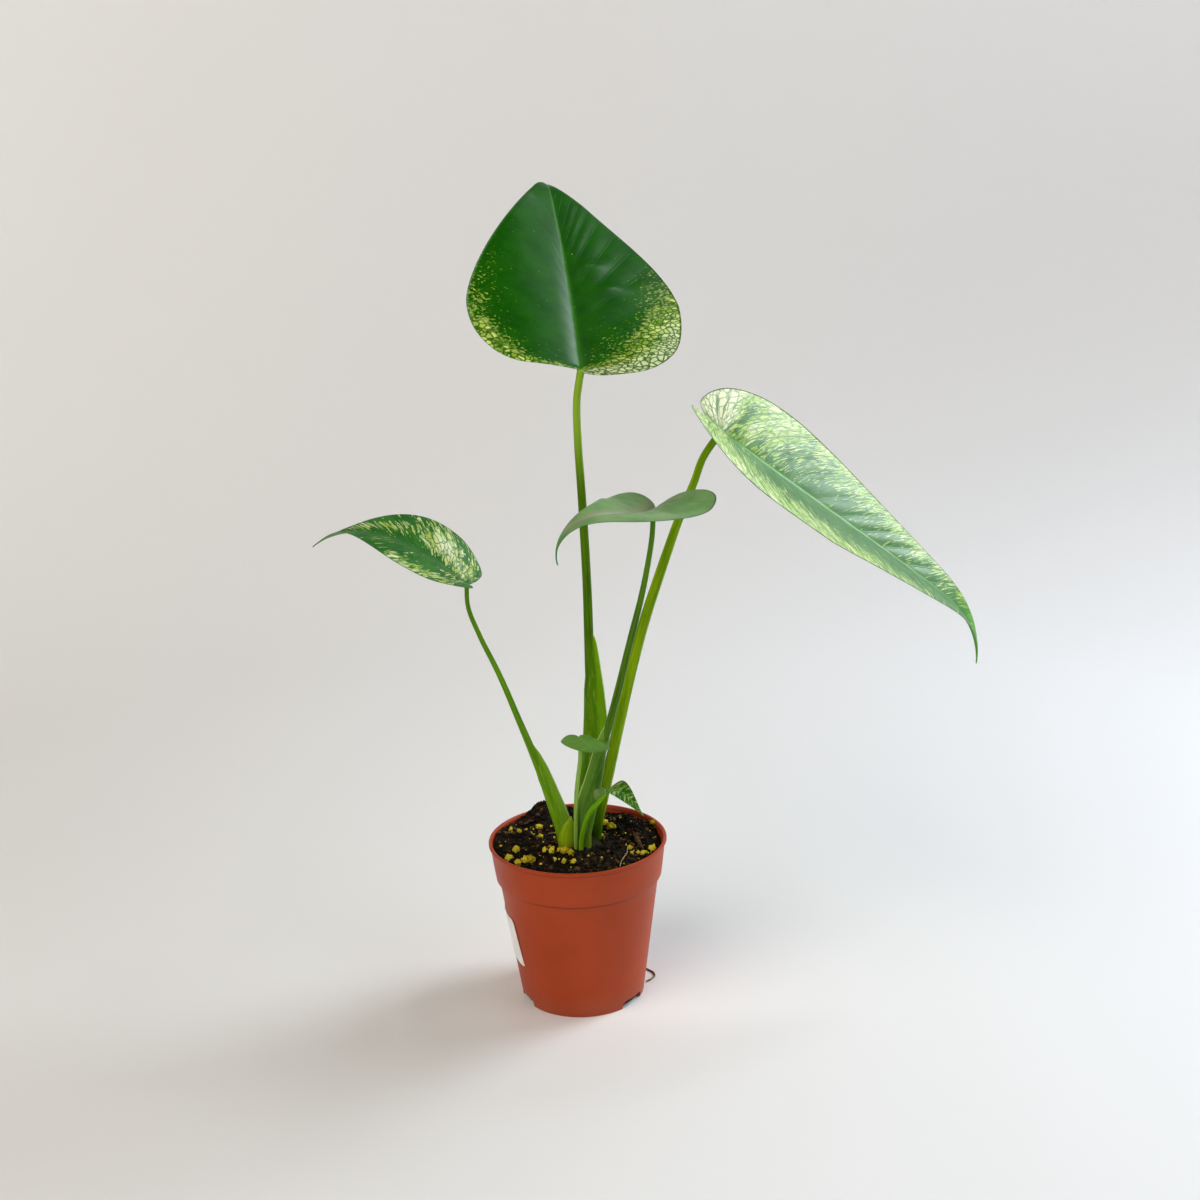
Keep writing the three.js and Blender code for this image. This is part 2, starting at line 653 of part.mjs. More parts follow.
// Stalks
// The stalk's path ends just under the blade that it carries, and its end face lies along the blade.
function stalkGeometry(stalk, blade, grow) {
  const { up } = midrib(blade)(0);
  const { ribHeight } = grade(blade);
  const seat = new THREE.Vector3(...blade.at).addScaledVector(up, -(BLADE_THICKNESS / 2 + ribHeight + GAP));
  const last = stalk.points[stalk.points.length - 1];
  const places = stalk.points.map(([x, y, z]) => new THREE.Vector3(x, y, z));
  const curve = new THREE.CatmullRomCurve3([...places, seat]);
  const widths = [...stalk.points.map((p) => [p[3], p[4]]), [last[3], last[4]]];
  const spans = places.length;
  const steps = spans * STALK_STEPS;
  const facing = new THREE.Vector3(...stalk.channel);
  const rings = [];
  for (let k = 0; k <= steps; k += 1) {
    const at = (k / steps) * spans;
    const span = Math.min(Math.floor(at), spans - 1);
    const size = [0, 1].map((n) => widths[span][n] + (widths[span + 1][n] - widths[span][n]) * (at - span));
    const place = curve.getPoint(k / steps);
    const along = curve.getTangent(k / steps);
    const front = facing.clone().addScaledVector(along, -facing.dot(along)).normalize();
    const across = new THREE.Vector3().crossVectors(along, front);
    const fades = size[0] < CHANNEL.leastWidth ? 0 : Math.max(0, 1 - place.z / CHANNEL.ends);
    const groove = CHANNEL.depth * size[1] * fades;
    const ring = [];
    for (let n = 0; n < STALK_SIDES; n += 1) {
      const angle = (n / STALK_SIDES) * 2 * Math.PI;
      const [c, s] = [Math.cos(angle), Math.sin(angle)];
      const dip = s > 0 ? groove * gauss(c, CHANNEL.spread) : 0;
      const point = place.clone();
      point.addScaledVector(front, (size[1] / 2 + grow) * s - dip);
      point.addScaledVector(across, -(size[0] / 2 + grow) * c);
      if (k === steps) {
        const off = point.clone().sub(seat).dot(up);
        point.addScaledVector(along, -off / along.dot(up));
      }
      ring.push(point.toArray());
    }
    rings.push(ring);
  }
  return loft(rings);
}

// Root
function rootGeometry() {
  const radius = ROOT.diameter / 2;
  const places = ROOT.points.map(([x, y]) => new THREE.Vector3(x, y, radius + ROOT.lift));
  const curve = new THREE.CatmullRomCurve3(places);
  const rings = [];
  for (let k = 0; k <= ROOT.steps; k += 1) {
    const place = curve.getPoint(k / ROOT.steps);
    const along = curve.getTangent(k / ROOT.steps);
    const across = new THREE.Vector3(-along.y, along.x, 0).normalize();
    const up = new THREE.Vector3().crossVectors(along, across);
    rings.push(
      Array.from({ length: ROOT.sides }, (_, n) => {
        const angle = (n / ROOT.sides) * 2 * Math.PI;
        const point = place.clone().addScaledVector(across, radius * Math.cos(angle));
        return point.addScaledVector(up, radius * Math.sin(angle)).toArray();
      }),
    );
  }
  return loft(rings);
}

function piece(name, geometry, color, roughness) {
  const mesh = new THREE.Mesh(geometry, new THREE.MeshStandardMaterial({ color, roughness, metalness: 0 }));
  mesh.name = name;
  return mesh;
}

const group = new THREE.Group();
group.add(piece("pot", potGeometry(), 0xa8492a, 0.5));
group.add(piece("label", labelGeometry(), 0xf2f1ee, 0.55));

const names = Object.keys(STALKS);
const grown = names.map((name) => toSolid(stalkGeometry(STALKS[name], BLADES[name], GAP)));
group.add(piece("soil", soilGeometry([crownSolid(GAP), ...grown]), 0x2a201a, 0.95));

let crown = crownSolid(0);
for (const solid of grown) {
  crown = crown.subtract(solid);
}
group.add(piece("crown", fromSolid(largest(crown)), 0x8a8a3a, 0.7));

for (const name of names) {
  const [stalk, blade] = [STALKS[name], BLADES[name]];
  group.add(piece(`stalk_${name}`, stalkGeometry(stalk, blade, 0), stalk.colour, 0.45));
  group.add(piece(`blade_${name}`, bladeGeometry(blade), blade.colour, 0.4));
}
group.add(piece("root", rootGeometry(), 0x6b4a2c, 0.8));

export default group;
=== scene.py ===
"""A young potted monstera with six marbled leaves, dressed round its packed frame.

Lengths in the tables below are millimetres, in the frame of the CAD part: +Z is up and -Y is the front.
"""

import math
import random

import bpy
import numpy as np
from bpy.props import FloatProperty, FloatVectorProperty, IntProperty, PointerProperty
from bpy.types import Operator, Panel, PropertyGroup
from mathutils import Matrix, Vector, noise


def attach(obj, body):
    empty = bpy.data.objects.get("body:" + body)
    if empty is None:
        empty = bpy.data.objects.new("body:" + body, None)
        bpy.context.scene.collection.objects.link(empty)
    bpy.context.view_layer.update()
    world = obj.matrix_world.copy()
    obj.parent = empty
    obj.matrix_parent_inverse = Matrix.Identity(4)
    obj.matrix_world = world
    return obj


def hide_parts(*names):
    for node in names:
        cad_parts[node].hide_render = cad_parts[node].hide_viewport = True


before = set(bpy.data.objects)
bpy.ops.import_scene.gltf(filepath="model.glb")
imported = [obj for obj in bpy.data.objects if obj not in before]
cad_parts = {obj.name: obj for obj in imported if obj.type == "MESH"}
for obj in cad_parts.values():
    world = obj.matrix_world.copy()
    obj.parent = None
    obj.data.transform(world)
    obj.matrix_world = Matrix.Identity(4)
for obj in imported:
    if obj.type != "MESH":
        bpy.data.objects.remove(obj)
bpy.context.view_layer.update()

bl_info = {
    "name": "Potted monstera",
    "version": (1, 0, 0),
    "blender": (4, 5, 0),
    "location": "View3D > Sidebar > Plant",
    "description": "Builds a potted variegated monstera and a plain studio for it",
    "category": "Object",
}

MM = 0.001

# The photograph's camera: its place, how far it looks down and leans in degrees, and its focal length and
# frame in the photograph's pixels.
CAMERA = {"place": (20.6, -1000.0, 543.8), "down": 14.95, "lean": 1.98, "focal": 1597.0, "frame": 1200}

POT = {
    "height": 112.0, "foot_radius": 41.7, "body_top_radius": 54.0, "ledge": 86.5,
    "collar_bottom_radius": 56.0, "collar_top_radius": 59.0, "lip_radius": 60.0, "lip_height": 2.2,
    "wall": 1.4, "floor": 1.6, "inner_ledge_rise": 2.0,
}
# The foot's notches: angles from the front and width in degrees, how high they reach, and the wedge's radii.
NOTCH = {"angles": (53, 173, 293), "width": 28.0, "height": 5.0, "inner_radius": 34.0, "outer_radius": 48.0}
# The label: right edge, width and lean in degrees round the pot, its bottom, height and rise to the left, how
# round its corners are as a share of it, and how finely it is divided.
LABEL = {
    "right": -55.5, "wide": 54.0, "lean": -5.0, "bottom": 30.0, "tall": 33.5, "rise": 5.0,
    "thickness": 0.22, "corner": 0.05, "columns": 60, "rows": 30,
}
# The crown stem: its middle, how much wider than deep it is, and its radii and heights.
CROWN = {
    "x": 3.0, "y": -1.0, "stretch": 1.3,
    "profile": ((9.6, 88.0), (12.0, 94.0), (12.0, 103.0), (9.5, 108.0), (6.5, 111.0)),
}
SOIL = {"level": 103.5, "gap": 0.4, "edge_gap": 0.15, "sides": 260, "rings": 88}
# Where the soil rises over its level: the middle's x and y, the height and the spread.
RISES = {
    "heap": (-26.0, 46.0, 12.5, 13.0), "ridge": (-4.0, 50.0, 8.5, 16.0), "collar": (3.0, -3.0, 7.0, 19.0),
    "far_side": (32.0, 44.0, 5.5, 20.0), "bank": (-50.0, 15.0, 8.5, 34.0),
    "shoulder": (47.0, 20.0, 5.5, 20.0),
}
# Perlite grains by where they lie in the photograph, in pixels, with their widths in millimetres.
PERLITE = (
    (539, 822, 5), (511, 831, 3), (519, 832, 3), (531, 834, 2.5), (516, 849, 6), (509, 858, 6), (525, 860, 6),
    (531, 860, 6), (518, 865, 5), (545, 851, 5), (552, 851, 6), (565, 852, 6), (571, 852, 5), (574, 862, 5),
    (564, 863, 4), (598, 827, 7), (600, 836, 6), (611, 829, 6), (605, 823, 5), (644, 854, 5), (652, 849, 6),
    (653, 824, 4), (630, 847, 4), (560, 850, 4), (555, 861, 3), (541, 864, 3), (632, 853, 3),
)
# The bark sticks that stand out, by the pixels of their ends and half their width in millimetres, and the
# pixels that the plainest fibre passes.
BARK = (((633, 834), (643, 850), 1.5), ((522, 826), (530, 823), 0.8))
FIBRE = ((627.5, 849.5), (627.0, 855.0), (624.0, 859.0), (621.5, 863.0), (620.0, 868.0))
FIBRE_HALF_WIDTHS = (0.25, 0.4, 0.45, 0.45, 0.3)
# What lies loose on the soil: how far out from the pot's middle, how clear of the crown's middle, and its
# least and most size, which is the whole width of grains and half that of the rest. edge is how far crumbs
# stay from the wall, their most size is a setting, and front is how far to the front the loose grains lie.
CRUMBS = {"edge": 1.5, "clear": 10.5, "least": 0.45, "rough_from": 0.8, "stands_out": 0.15}
GRAINS = {"out": 52, "clear": 20, "front": -20, "size": (1.5, 4), "stands_out": 0.22}
SPECKS = {"out": 54, "clear": 16, "size": (0.7, 2.0)}
STICKS = {"out": (22, 50), "length": (2.5, 6), "size": (0.5, 1.1), "shape": (0.45, 0.9, 1.0, 0.9, 0.5)}
FIBRES = {"out": (18, 52), "end": 55, "piece": (0.8, 2.2), "size": (0.12, 0.28)}

# The leaf blades, as in the CAD part, with relief that is only here: sweep, quilt, valley and humps. Pairs
# are left, right, seen from above with the tip pointing away. Angles are degrees, and lobe, reach and widest
# are shares of the length or the half width. A hump is side, row, share of the way to the margin, its spread
# along both, and height. LEAF holds for each blade that doesn't say otherwise.
LEAF = {
    "square": (2, 2), "hook": 0, "hook_from": 0.8, "lobe_bend": (1, 1), "sweep": (0.06, 0.9),
    "valley": 0.3, "tip_fold": 1, "humps": (),
}
LEAVES = {
    "tall": {
        **LEAF, "length": 190, "half": (71.5, 71.5), "lobe": (0.015, 0.06), "reach": (0.47, 0.47),
        "widest": (0.26, 0.29), "taper": (1.56, 1.56), "fullness": (1.17, 1.17), "at": (13.6, 12, 424.9),
        "heading": 95.5, "turn": 5, "pitch": 41, "droop": 4, "droop_power": 1.8, "hook": 45,
        "hook_from": 0.85, "roll": 7.5, "twist": 15, "fold": (18, 14), "cup": (37, 16),
        "lobe_lift": (0.13, 0.32), "rows": 150, "columns": 34, "veins": 13, "sweep": (0.027, 1.73),
        "quilt": (0.25, 0.6), "rib": 1.9, "valley": 1.1, "tip_fold": 0.15,
        "humps": ((1, 0.62, 0.24, 0.022, 0.16, 2.0), (1, 0.52, 0.34, 0.022, 0.18, 2.2)),
    },
    "right": {
        **LEAF, "length": 239, "half": (53.5, 51.5), "lobe": (0.095, 0.09), "reach": (0.18, 0.44),
        "square": (1.9, 3), "widest": (0.17, 0.36), "taper": (1.43, 1.25), "fullness": (1.28, 1.34),
        "at": (100.6, 0, 384.3), "heading": -17.3, "turn": 39.6, "pitch": -36.3, "droop": 5.4,
        "droop_power": 2, "hook": 51.5, "hook_from": 0.73, "roll": 8.7, "twist": 25, "fold": (18, 13),
        "cup": (8.6, 14.3), "lobe_lift": (0.2, 0.27), "lobe_bend": (0.76, 0.74), "rows": 170,
        "columns": 32, "veins": 13, "sweep": (0.114, 0.54), "quilt": (1.2, 0.5), "rib": 1.8,
        "valley": 0.6,
    },
    "middle": {
        **LEAF, "length": 100, "half": (42, 29), "lobe": (0.12, 0.07), "reach": (0.12, 0.14),
        "square": (1.9, 1.9), "widest": (0.12, 0.13), "taper": (1.3, 1.3), "fullness": (1.7, 2.1),
        "at": (54.9, -50, 344.8), "heading": 246.7, "turn": -55, "pitch": 9, "droop": 23.7,
        "droop_power": 2.7, "hook": 91.7, "hook_from": 0.52, "roll": -15.6, "twist": -4,
        "fold": (14.8, 16), "cup": (-2.6, 45), "lobe_lift": (0.8, 0.41), "lobe_bend": (0.4, 0.62),
        "rows": 110, "columns": 28, "veins": 9, "quilt": (0.5, 0.35), "rib": 1.3,
    },
    "left": {
        **LEAF, "length": 117, "half": (35, 35), "lobe": (0.04, 0.04), "reach": (0.45, 0.45),
        "widest": (0.28, 0.23), "taper": (2.0, 2.4), "fullness": (2.4, 3.1), "at": (-64, -10, 293.7),
        "heading": 173, "turn": -15, "pitch": 40, "droop": 78, "droop_power": 1.7, "roll": -5, "twist": 7,
        "fold": (13, 27), "cup": (30, 22), "lobe_lift": (0.5, -0.3), "rows": 130, "columns": 26,
        "veins": 11, "sweep": (0.12, 2.2), "quilt": (0.5, 0.5), "rib": 1.1,
    },
    "small": {
        **LEAF, "length": 33, "half": (11.5, 14.4), "lobe": (0.135, 0.18), "reach": (0.42, 0.37),
        "widest": (0.26, 0.17), "taper": (1.69, 1.36), "fullness": (1, 1.2), "at": (4.4, -28, 193),
        "heading": 294.8, "turn": 24.4, "pitch": -8, "droop": -31, "droop_power": 1.9, "roll": -3.5,
        "twist": 25, "fold": (-11, 8.7), "cup": (2.2, 9), "lobe_lift": (0.15, -0.49),
        "lobe_bend": (1.5, 1.8), "rows": 70, "columns": 18, "veins": 7, "quilt": (0.15, 0.15), "rib": 0.6,
    },
    "baby": {
        **LEAF, "length": 46, "half": (9.3, 9), "lobe": (-0.03, 0.18), "reach": (0.16, 0.29),
        "square": (2.4, 1.7), "widest": (0.23, 0.35), "taper": (1.53, 1.43), "fullness": (1.8, 1.1),
        "at": (18.8, -20, 150.3), "heading": -56.5, "turn": 7, "pitch": 55, "droop": 99.4,
        "droop_power": 0.7, "roll": -8.3, "twist": 46, "fold": (27, 24), "cup": (13.4, 12.6),
        "lobe_lift": (-0.03, 0.17), "lobe_bend": (0.4, 1.5), "rows": 80, "columns": 16, "veins": 7,
        "quilt": (0.3, 0.3), "rib": 0.6,
    },
}
# How the rows leave the midrib and run out to the margin, and how the side veins fan out over the lobes.
VEIN = {"fan_rows": 0.22, "fan_length": 0.03, "crowding": 1.2, "bend_out": 0.55, "bend_forward": 0.35}
FAN_WIDTH = 24.0
LOBE_ZONE = 0.14
LOBE_EASE = 0.07
HOOK_POWER = 1.5
# The relief: the midrib's narrowing, valley, groove and how far it stands out below, the margin's wave as a
# share of the width, and how the blade thins at its margin and rounds off, as shares of its thickness.
RIB = {"narrowing": 0.8, "valley_spread": 5.5, "groove": 0.35, "groove_spread": 0.3, "below": 0.62}
MARGIN = {"wave": 0.010, "wave_turn": 11, "thinning": 0.32, "round": 0.22}

# Where each blade is marbled: side (0 left, 1 right), the row and the share of the way to the margin at the
# patch's middle, its spread along both, and how much of the blade it turns cream.
MARBLING = {
    "tall": {
        "base": 0.0,
        "patches": (
            (1, 0.08, 0.85, 0.24, 0.56, 1.55), (1, 0.31, 1.00, 0.12, 0.34, 0.70),
            (1, 0.46, 0.98, 0.14, 0.30, 0.40), (1, 0.02, 0.35, 0.10, 0.30, 0.50),
            (0, 0.08, 0.98, 0.19, 0.42, 0.80), (0, 0.28, 1.02, 0.15, 0.30, 0.44),
            (0, 0.46, 0.98, 0.18, 0.30, 0.26),
        ),
    },
    "right": {
        "base": 0.42,
        "patches": (
            (0, 0.07, 0.65, 0.125, 1.20, 1.70), (0, 0.228, 0.45, 0.022, 0.45, -0.6),
            (0, 0.263, 0.35, 0.025, 0.25, 0.75), (0, 0.28, 0.98, 0.06, 0.26, 0.40),
            (0, 0.335, 0.55, 0.03, 0.50, 0.30), (0, 0.60, 1.00, 0.38, 0.35, 0.28),
            (0, 0.60, 0.12, 0.35, 0.32, -0.22), (1, 0.06, 0.55, 0.14, 0.80, 0.65),
            (1, 0.30, 0.95, 0.20, 0.35, 0.45), (1, 0.58, 0.98, 0.24, 0.30, 0.25),
            (1, 0.58, 0.20, 0.38, 0.36, -0.50), (1, 0.85, 0.5, 0.2, 0.8, -0.3),
        ),
    },
    "middle": {"base": 0.0, "patches": ()},
    "left": {
        "base": 0.06,
        "patches": (
            (1, 0.40, 0.42, 0.08, 0.34, 1.15), (1, 0.22, 0.22, 0.12, 0.24, 1.00),
            (1, 0.10, 0.75, 0.26, 0.60, 0.36), (1, 0.47, 1.00, 0.10, 0.30, 0.42),
            (1, 0.63, 0.52, 0.12, 0.26, 0.36), (1, 0.76, 0.45, 0.08, 0.40, 0.42),
            (0, 0.39, 0.92, 0.14, 0.20, 0.60), (0, 0.26, 0.68, 0.10, 0.30, 0.42),
            (0, 0.56, 0.75, 0.05, 0.20, 0.30),
        ),
    },
    "small": {"base": 0.02, "patches": ((0, 0.1, 0.1, 0.1, 0.2, 0.3),)},
    "baby": {
        "base": 0.42,
        "patches": ((1, 0.05, 0.7, 0.2, 0.5, 0.55), (0, 0.3, 0.6, 0.2, 0.3, 0.25)),
    },
}

# The leaf stalks, as in the CAD part: the way that the groove faces, then x, y, z, width and depth at points.
STALKS = {
    "tall": {
        "channel": (0.8, -0.6, 0),
        "points": (
            (2.2, 5, 100, 7, 8), (3, 5, 116, 7, 8), (6, 6, 136, 7, 9), (9.6, 7, 165, 6.8, 9),
            (11.4, 7.5, 185, 6.4, 8), (12.2, 8, 215, 6.2, 7), (12.3, 9, 245, 6, 6.4),
            (12.4, 10, 285, 5.8, 5.8), (11.2, 11, 341, 5.4, 5.4), (9.9, 12, 380, 5, 5),
            (10.2, 12, 405, 4.8, 4.8),
        ),
    },
    "right": {
        "channel": (-0.9, -0.3, 0.35),
        "points": (
            (12, 6.5, 100, 7, 7), (13.4, 6.8, 116, 7.4, 7), (21.4, 9, 150, 7.6, 7.6),
            (29.6, 10, 185, 8.6, 7.6), (39.8, 10, 226, 8.4, 7.2), (49.5, 9, 260, 7.8, 6.8),
            (61, 7, 294, 6.8, 6.4), (73, 6, 327, 5.8, 5.6), (83.4, 4, 352, 4.9, 4.9),
            (89, 2.5, 367, 4.7, 4.7),
        ),
    },
    "middle": {
        "channel": (-0.6, 0.8, 0),
        "points": (
            (5, -8, 100, 6, 6), (5.6, -8.4, 115, 6, 6), (10.6, -10, 149, 5.6, 5.6),
            (16, -12, 168, 5.4, 5.4), (20.4, -13.8, 185, 5.2, 5.2), (24.6, -16, 200, 5, 5),
            (30.4, -20, 222, 4.8, 4.8), (39, -27, 257, 4.3, 4.3), (46, -34, 285, 3.9, 3.9),
            (50.6, -41, 308, 3.5, 3.5), (53.8, -47, 329, 3.2, 3.2),
        ),
    },
    "left": {
        "channel": (0.9, -0.4, 0.2),
        "points": (
            (-7.2, -2, 100, 7, 10), (-9, -2.6, 114, 7, 10), (-14, -4, 132, 6.4, 8.4),
            (-23.2, -5, 163, 5, 6), (-35, -7, 198, 4.2, 4.2), (-46.6, -8, 231, 3.6, 3.6),
            (-58, -9, 258.5, 3.1, 3.1), (-64.2, -9.8, 278, 2.9, 2.9),
        ),
    },
    "small": {
        "channel": (0, -1, 0.3),
        "points": (
            (-0.9, -10.8, 101, 2.9, 2.9), (-0.9, -13.5, 116, 2.9, 2.9), (0.5, -18, 148, 2.8, 2.8),
            (2.3, -22, 164, 2.7, 2.7), (4.2, -25.5, 178, 2.6, 2.6),
        ),
    },
    "baby": {
        "channel": (0, -1, 0.3),
        "points": (
            (2, -13.2, 103, 3, 2.8), (2.6, -14.6, 115, 3.2, 2.8), (4.6, -16, 124, 3.6, 2.8),
            (7.6, -17.6, 133.5, 3.8, 2.8), (11.6, -19.4, 140.6, 3.6, 2.8), (15.6, -20.6, 145.2, 2.8, 2.4),
        ),
    },
}
# The sheaths round the lower stalks, from the free tip down: the left and right edges in x, then y, z and
# depth. free is the side that the sheath opens on, 1 for the right.
SHEATHS = {
    "tall": {
        "free": 1,
        "rows": (
            (14.4, 15.2, 8.4, 252, 0.8), (12.6, 16.2, 8.4, 250, 1.8), (11.6, 17.6, 8.2, 244.5, 3.2),
            (10.2, 19, 8, 233.7, 5), (8.0, 21.3, 7.8, 214, 7.2), (7.1, 22.7, 7.5, 195, 9),
            (6.2, 22, 7.5, 182, 11), (4, 19, 7, 164, 12), (1.3, 15.5, 6.5, 143, 12),
            (-1, 10, 5.5, 120, 10), (-2, 7.5, 5, 101, 8),
        ),
    },
    "left": {
        "free": 1,
        "rows": (
            (-27.2, -26.2, -5.6, 180.5, 0.8), (-27.6, -24.6, -5.5, 178, 1.8),
            (-27, -22.4, -5.4, 174.5, 3), (-26.6, -17.7, -5.2, 165, 5.2), (-24.4, -14.1, -5, 155.6, 6.6),
            (-20.6, -9.7, -4.8, 143.4, 8), (-18.8, -6.6, -4.5, 135, 8.6), (-17.3, -4.8, -4, 128.9, 9),
            (-15.8, -3.6, -3.6, 123.8, 9.4), (-14, -3, -3, 113.7, 10), (-12, -2, -2, 100, 9),
        ),
    },
    "middle": {
        "free": -1,
        "rows": (
            (20.6, 21.4, -14.6, 195.5, 1), (17.9, 24.4, -14, 190.4, 5.2), (14.6, 23.3, -13.6, 183.6, 6),
            (12.2, 21.4, -13, 176.7, 6.4), (9, 19.7, -12.4, 166.3, 7), (5, 17.6, -11.6, 154.4, 7.6),
            (1.5, 16.2, -11, 145.3, 8), (-0.8, 14, -10.4, 136.9, 8.2), (-1.2, 11.5, -9.6, 126.2, 8.4),
            (-0.2, 9.5, -9, 117.7, 8.4), (0, 9, -8, 100, 8),
        ),
    },
    "scale": {
        "free": 1,
        "rows": (
            (-4, -3.4, -8.6, 130.5, 0.8), (-8.6, -1.9, -8.6, 125.3, 3.4), (-11.6, -1.5, -8.4, 119, 6),
            (-13, -1, -8.2, 113.5, 8), (-12.6, -1.4, -7.6, 106, 9), (-11.5, -2, -6.5, 99, 9),
        ),
    },
}
# The root's line on the surface that the pot stands on, its height there, and its half widths at its ends.
ROOT_LINE = (
    (8.5, 37.5), (14, 44), (26, 44.5), (37, 35), (41, 26), (45.5, 20.5), (49, 16), (49.6, 11.5), (47, 6.5),
    (43.6, 3.5),
)
ROOT_HEIGHT = 0.62
ROOT_HALF_WIDTHS = (0.7, 0.5)

# Dark and light tones of what is fibrous, and the slots of the blades.
BARK_COLOURS = ((0.035, 0.016, 0.008), (0.13, 0.065, 0.035))
FIBRE_COLOURS = ((0.20, 0.13, 0.05), (0.42, 0.32, 0.16))
CROWN_COLOURS = ((0.004, 0.004, 0.001), (0.03, 0.03, 0.004))
ROOT_COLOURS = ((0.08, 0.045, 0.012), (0.26, 0.17, 0.06))
BLADE_SLOTS = {
    "tall": "blade_deep_green", "right": "blade_cream_marbled", "middle": "blade_grey_green",
    "left": "blade_streaked", "small": "blade_grey_green", "baby": "blade_flecked",
}

# How finely lofted and turned pieces are divided, and the height that the sheaths' lengths are counted from.
CROWN_STEPS = {"heights": 40, "sides": 96}
STALK_STEPS = 16
SHEATH_STEPS = 8
MIDRIB_STEPS = 160
FLOOR_SIDES = 96
SHEATH_FOOT = 98.0

# The stage's floor in millimetres: flat as far as the cove that turns up into the wall behind the plant.
FLOOR = {"flat": 850.0, "cove": 800.0, "wall": 1250.0, "wide": 3600.0}
# The studio's lights: place in metres, size across and colour. Their powers are among the stage's settings.
LIGHTS = {
    "key": ((2.46, 1.0, 2.15), 1.8, (0.84, 0.92, 1.0)), "fill": ((-1.5, -1.8, 2.2), 3.0, (1.0, 0.93, 0.84)),
    "side": ((2.3, -1.1, 1.6), 2.2, (0.88, 0.94, 1.0)), "top": ((1.1, 0.45, 2.3), 0.3, (0.9, 0.95, 1.0)),
}
LIT_POINT = (0.03, 0.0, 0.28)

TURN = 2 * math.pi
SHARP = math.radians(40)


def gauss(distance, spread):
    """1 at no distance, falling away in a bell shape."""
    return np.exp(-((distance / spread) ** 2))


def smooth(value, low, high):
    """0 at low, 1 at high and an even S between; low may be the larger."""
    share = np.clip((value - low) / (high - low), 0, 1)
    return share * share * (3 - 2 * share)


def around(sides):
    """Angles evenly round a full turn."""
    return np.arange(sides) / sides * TURN


def unit(vectors):
    """The vectors, each at length 1."""
    return vectors / np.maximum(np.linalg.norm(vectors, axis=-1, keepdims=True), 1e-9)


# Meshes


def mesh_object(name, points, faces, material_of=None, fields=None):
    """A smooth mesh object from points in millimetres. fields holds one or three numbers for each point."""
    mesh = bpy.data.meshes.new(name)
    mesh.from_pydata((np.asarray(points, float) * MM).tolist(), [], faces)
    for field, values in (fields or {}).items():
        values = np.asarray(values, np.float32)
        wide = values.ndim == 2
        made = mesh.attributes.new(field, "FLOAT_VECTOR" if wide else "FLOAT", "POINT")
        made.data.foreach_set("vector" if wide else "value", values.ravel())
    mesh.polygons.foreach_set("use_smooth", [True] * len(mesh.polygons))
    if material_of is not None:
        mesh.polygons.foreach_set("material_index", material_of)
    mesh.update()
    made = bpy.data.objects.new(name, mesh)
    bpy.context.scene.collection.objects.link(made)
    return made


def finish_piece(made, slot, *materials, replaces=None):
    """Gives a piece its materials, and ties it to the frame."""
    for material in materials:
        made.data.materials.append(material)
    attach(made, "root")
    if replaces:
        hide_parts(replaces)


def finish_bits(name, parts, material, shades=None):
    """Makes one piece of the potting mix out of many loose bits, each with its own shade if there are any."""
    points, faces, owner = joined(parts)
    fields = {"shade": np.array(shades)[owner]} if shades else None
    finish_piece(mesh_object(name, points, faces, fields=fields), "potting_mix", material)


def grid_faces(rows, columns, closed, first=0):
    """Quads between rows of points, each row closed into a ring or not."""
    faces = []
    for r in range(rows - 1):
        for c in range(columns if closed else columns - 1):
            d = (c + 1) % columns
            a = first + r * columns
            b = a + columns
            faces.append((a + c, a + d, b + d, b + c))
    return faces


def loft(rings, ends=(0, -1)):
    """Points and faces of a skin over rings of points, shaped (rings, sides, 3), closed at the given ends."""
    rings = np.asarray(rings, float)
    count, sides, _ = rings.shape
    points = rings.reshape(-1, 3)
    faces = grid_faces(count, sides, True)
    for end in ends:
        middle, first = len(points), (end % count) * sides
        points = np.concatenate([points, rings[end].mean(0)[None]])
        for k in range(sides):
            a, b = first + k, first + (k + 1) % sides
            faces.append((middle, a, b) if end else (middle, b, a))
    return points, faces


def turned(profile, sides, stretch=1.0, x=0.0, y=0.0):
    """Level rings of points for a profile of radii and heights, wider in x by stretch."""
    angle = around(sides)
    rings = []
    for r, z in profile:
        ring = (x + stretch * r * np.cos(angle), y + r * np.sin(angle), np.full(sides, z))
        rings.append(np.stack(ring, -1))
    return np.array(rings)


def curve_points(points, steps):
    """A smooth line through points, steps to each span, with its direction at each step."""
    p = np.asarray(points, float)
    p = np.concatenate([[2 * p[0] - p[1]], p, [2 * p[-1] - p[-2]]])
    places, ways = [], []
    for k in range(len(p) - 3):
        a, b, c, d = p[k : k + 4]
        da, db, dc = (math.sqrt(np.linalg.norm(v)) for v in (b - a, c - b, d - c))
        start = ((b - a) / da - (c - a) / (da + db) + (c - b) / db) * db
        end = ((c - b) / db - (d - b) / (db + dc) + (d - c) / dc) * db
        last = k == len(p) - 4
        for s in np.arange(steps + last) / steps:
            two, three = -3 * b + 3 * c - 2 * start - end, 2 * b - 2 * c + start + end
            places.append(b + s * start + s * s * two + s**3 * three)
            ways.append(start + 2 * s * two + 3 * s * s * three)
    return np.array(places), unit(np.array(ways))


def tube(points, radii, sides=8, steps=6):
    """A round tube along points, with a radius at each."""
    places, ways = curve_points(points, steps)
    share = np.linspace(0, len(points) - 1, len(places))
    radius = np.interp(share, np.arange(len(points)), radii)
    side = unit(np.cross(ways, (0.13, 0.21, 1.0)))
    up = np.cross(side, ways)
    angle = around(sides)
    ring = np.cos(angle)[None, :, None] * side[:, None] + np.sin(angle)[None, :, None] * up[:, None]
    return loft(places[:, None] + radius[:, None, None] * ring)


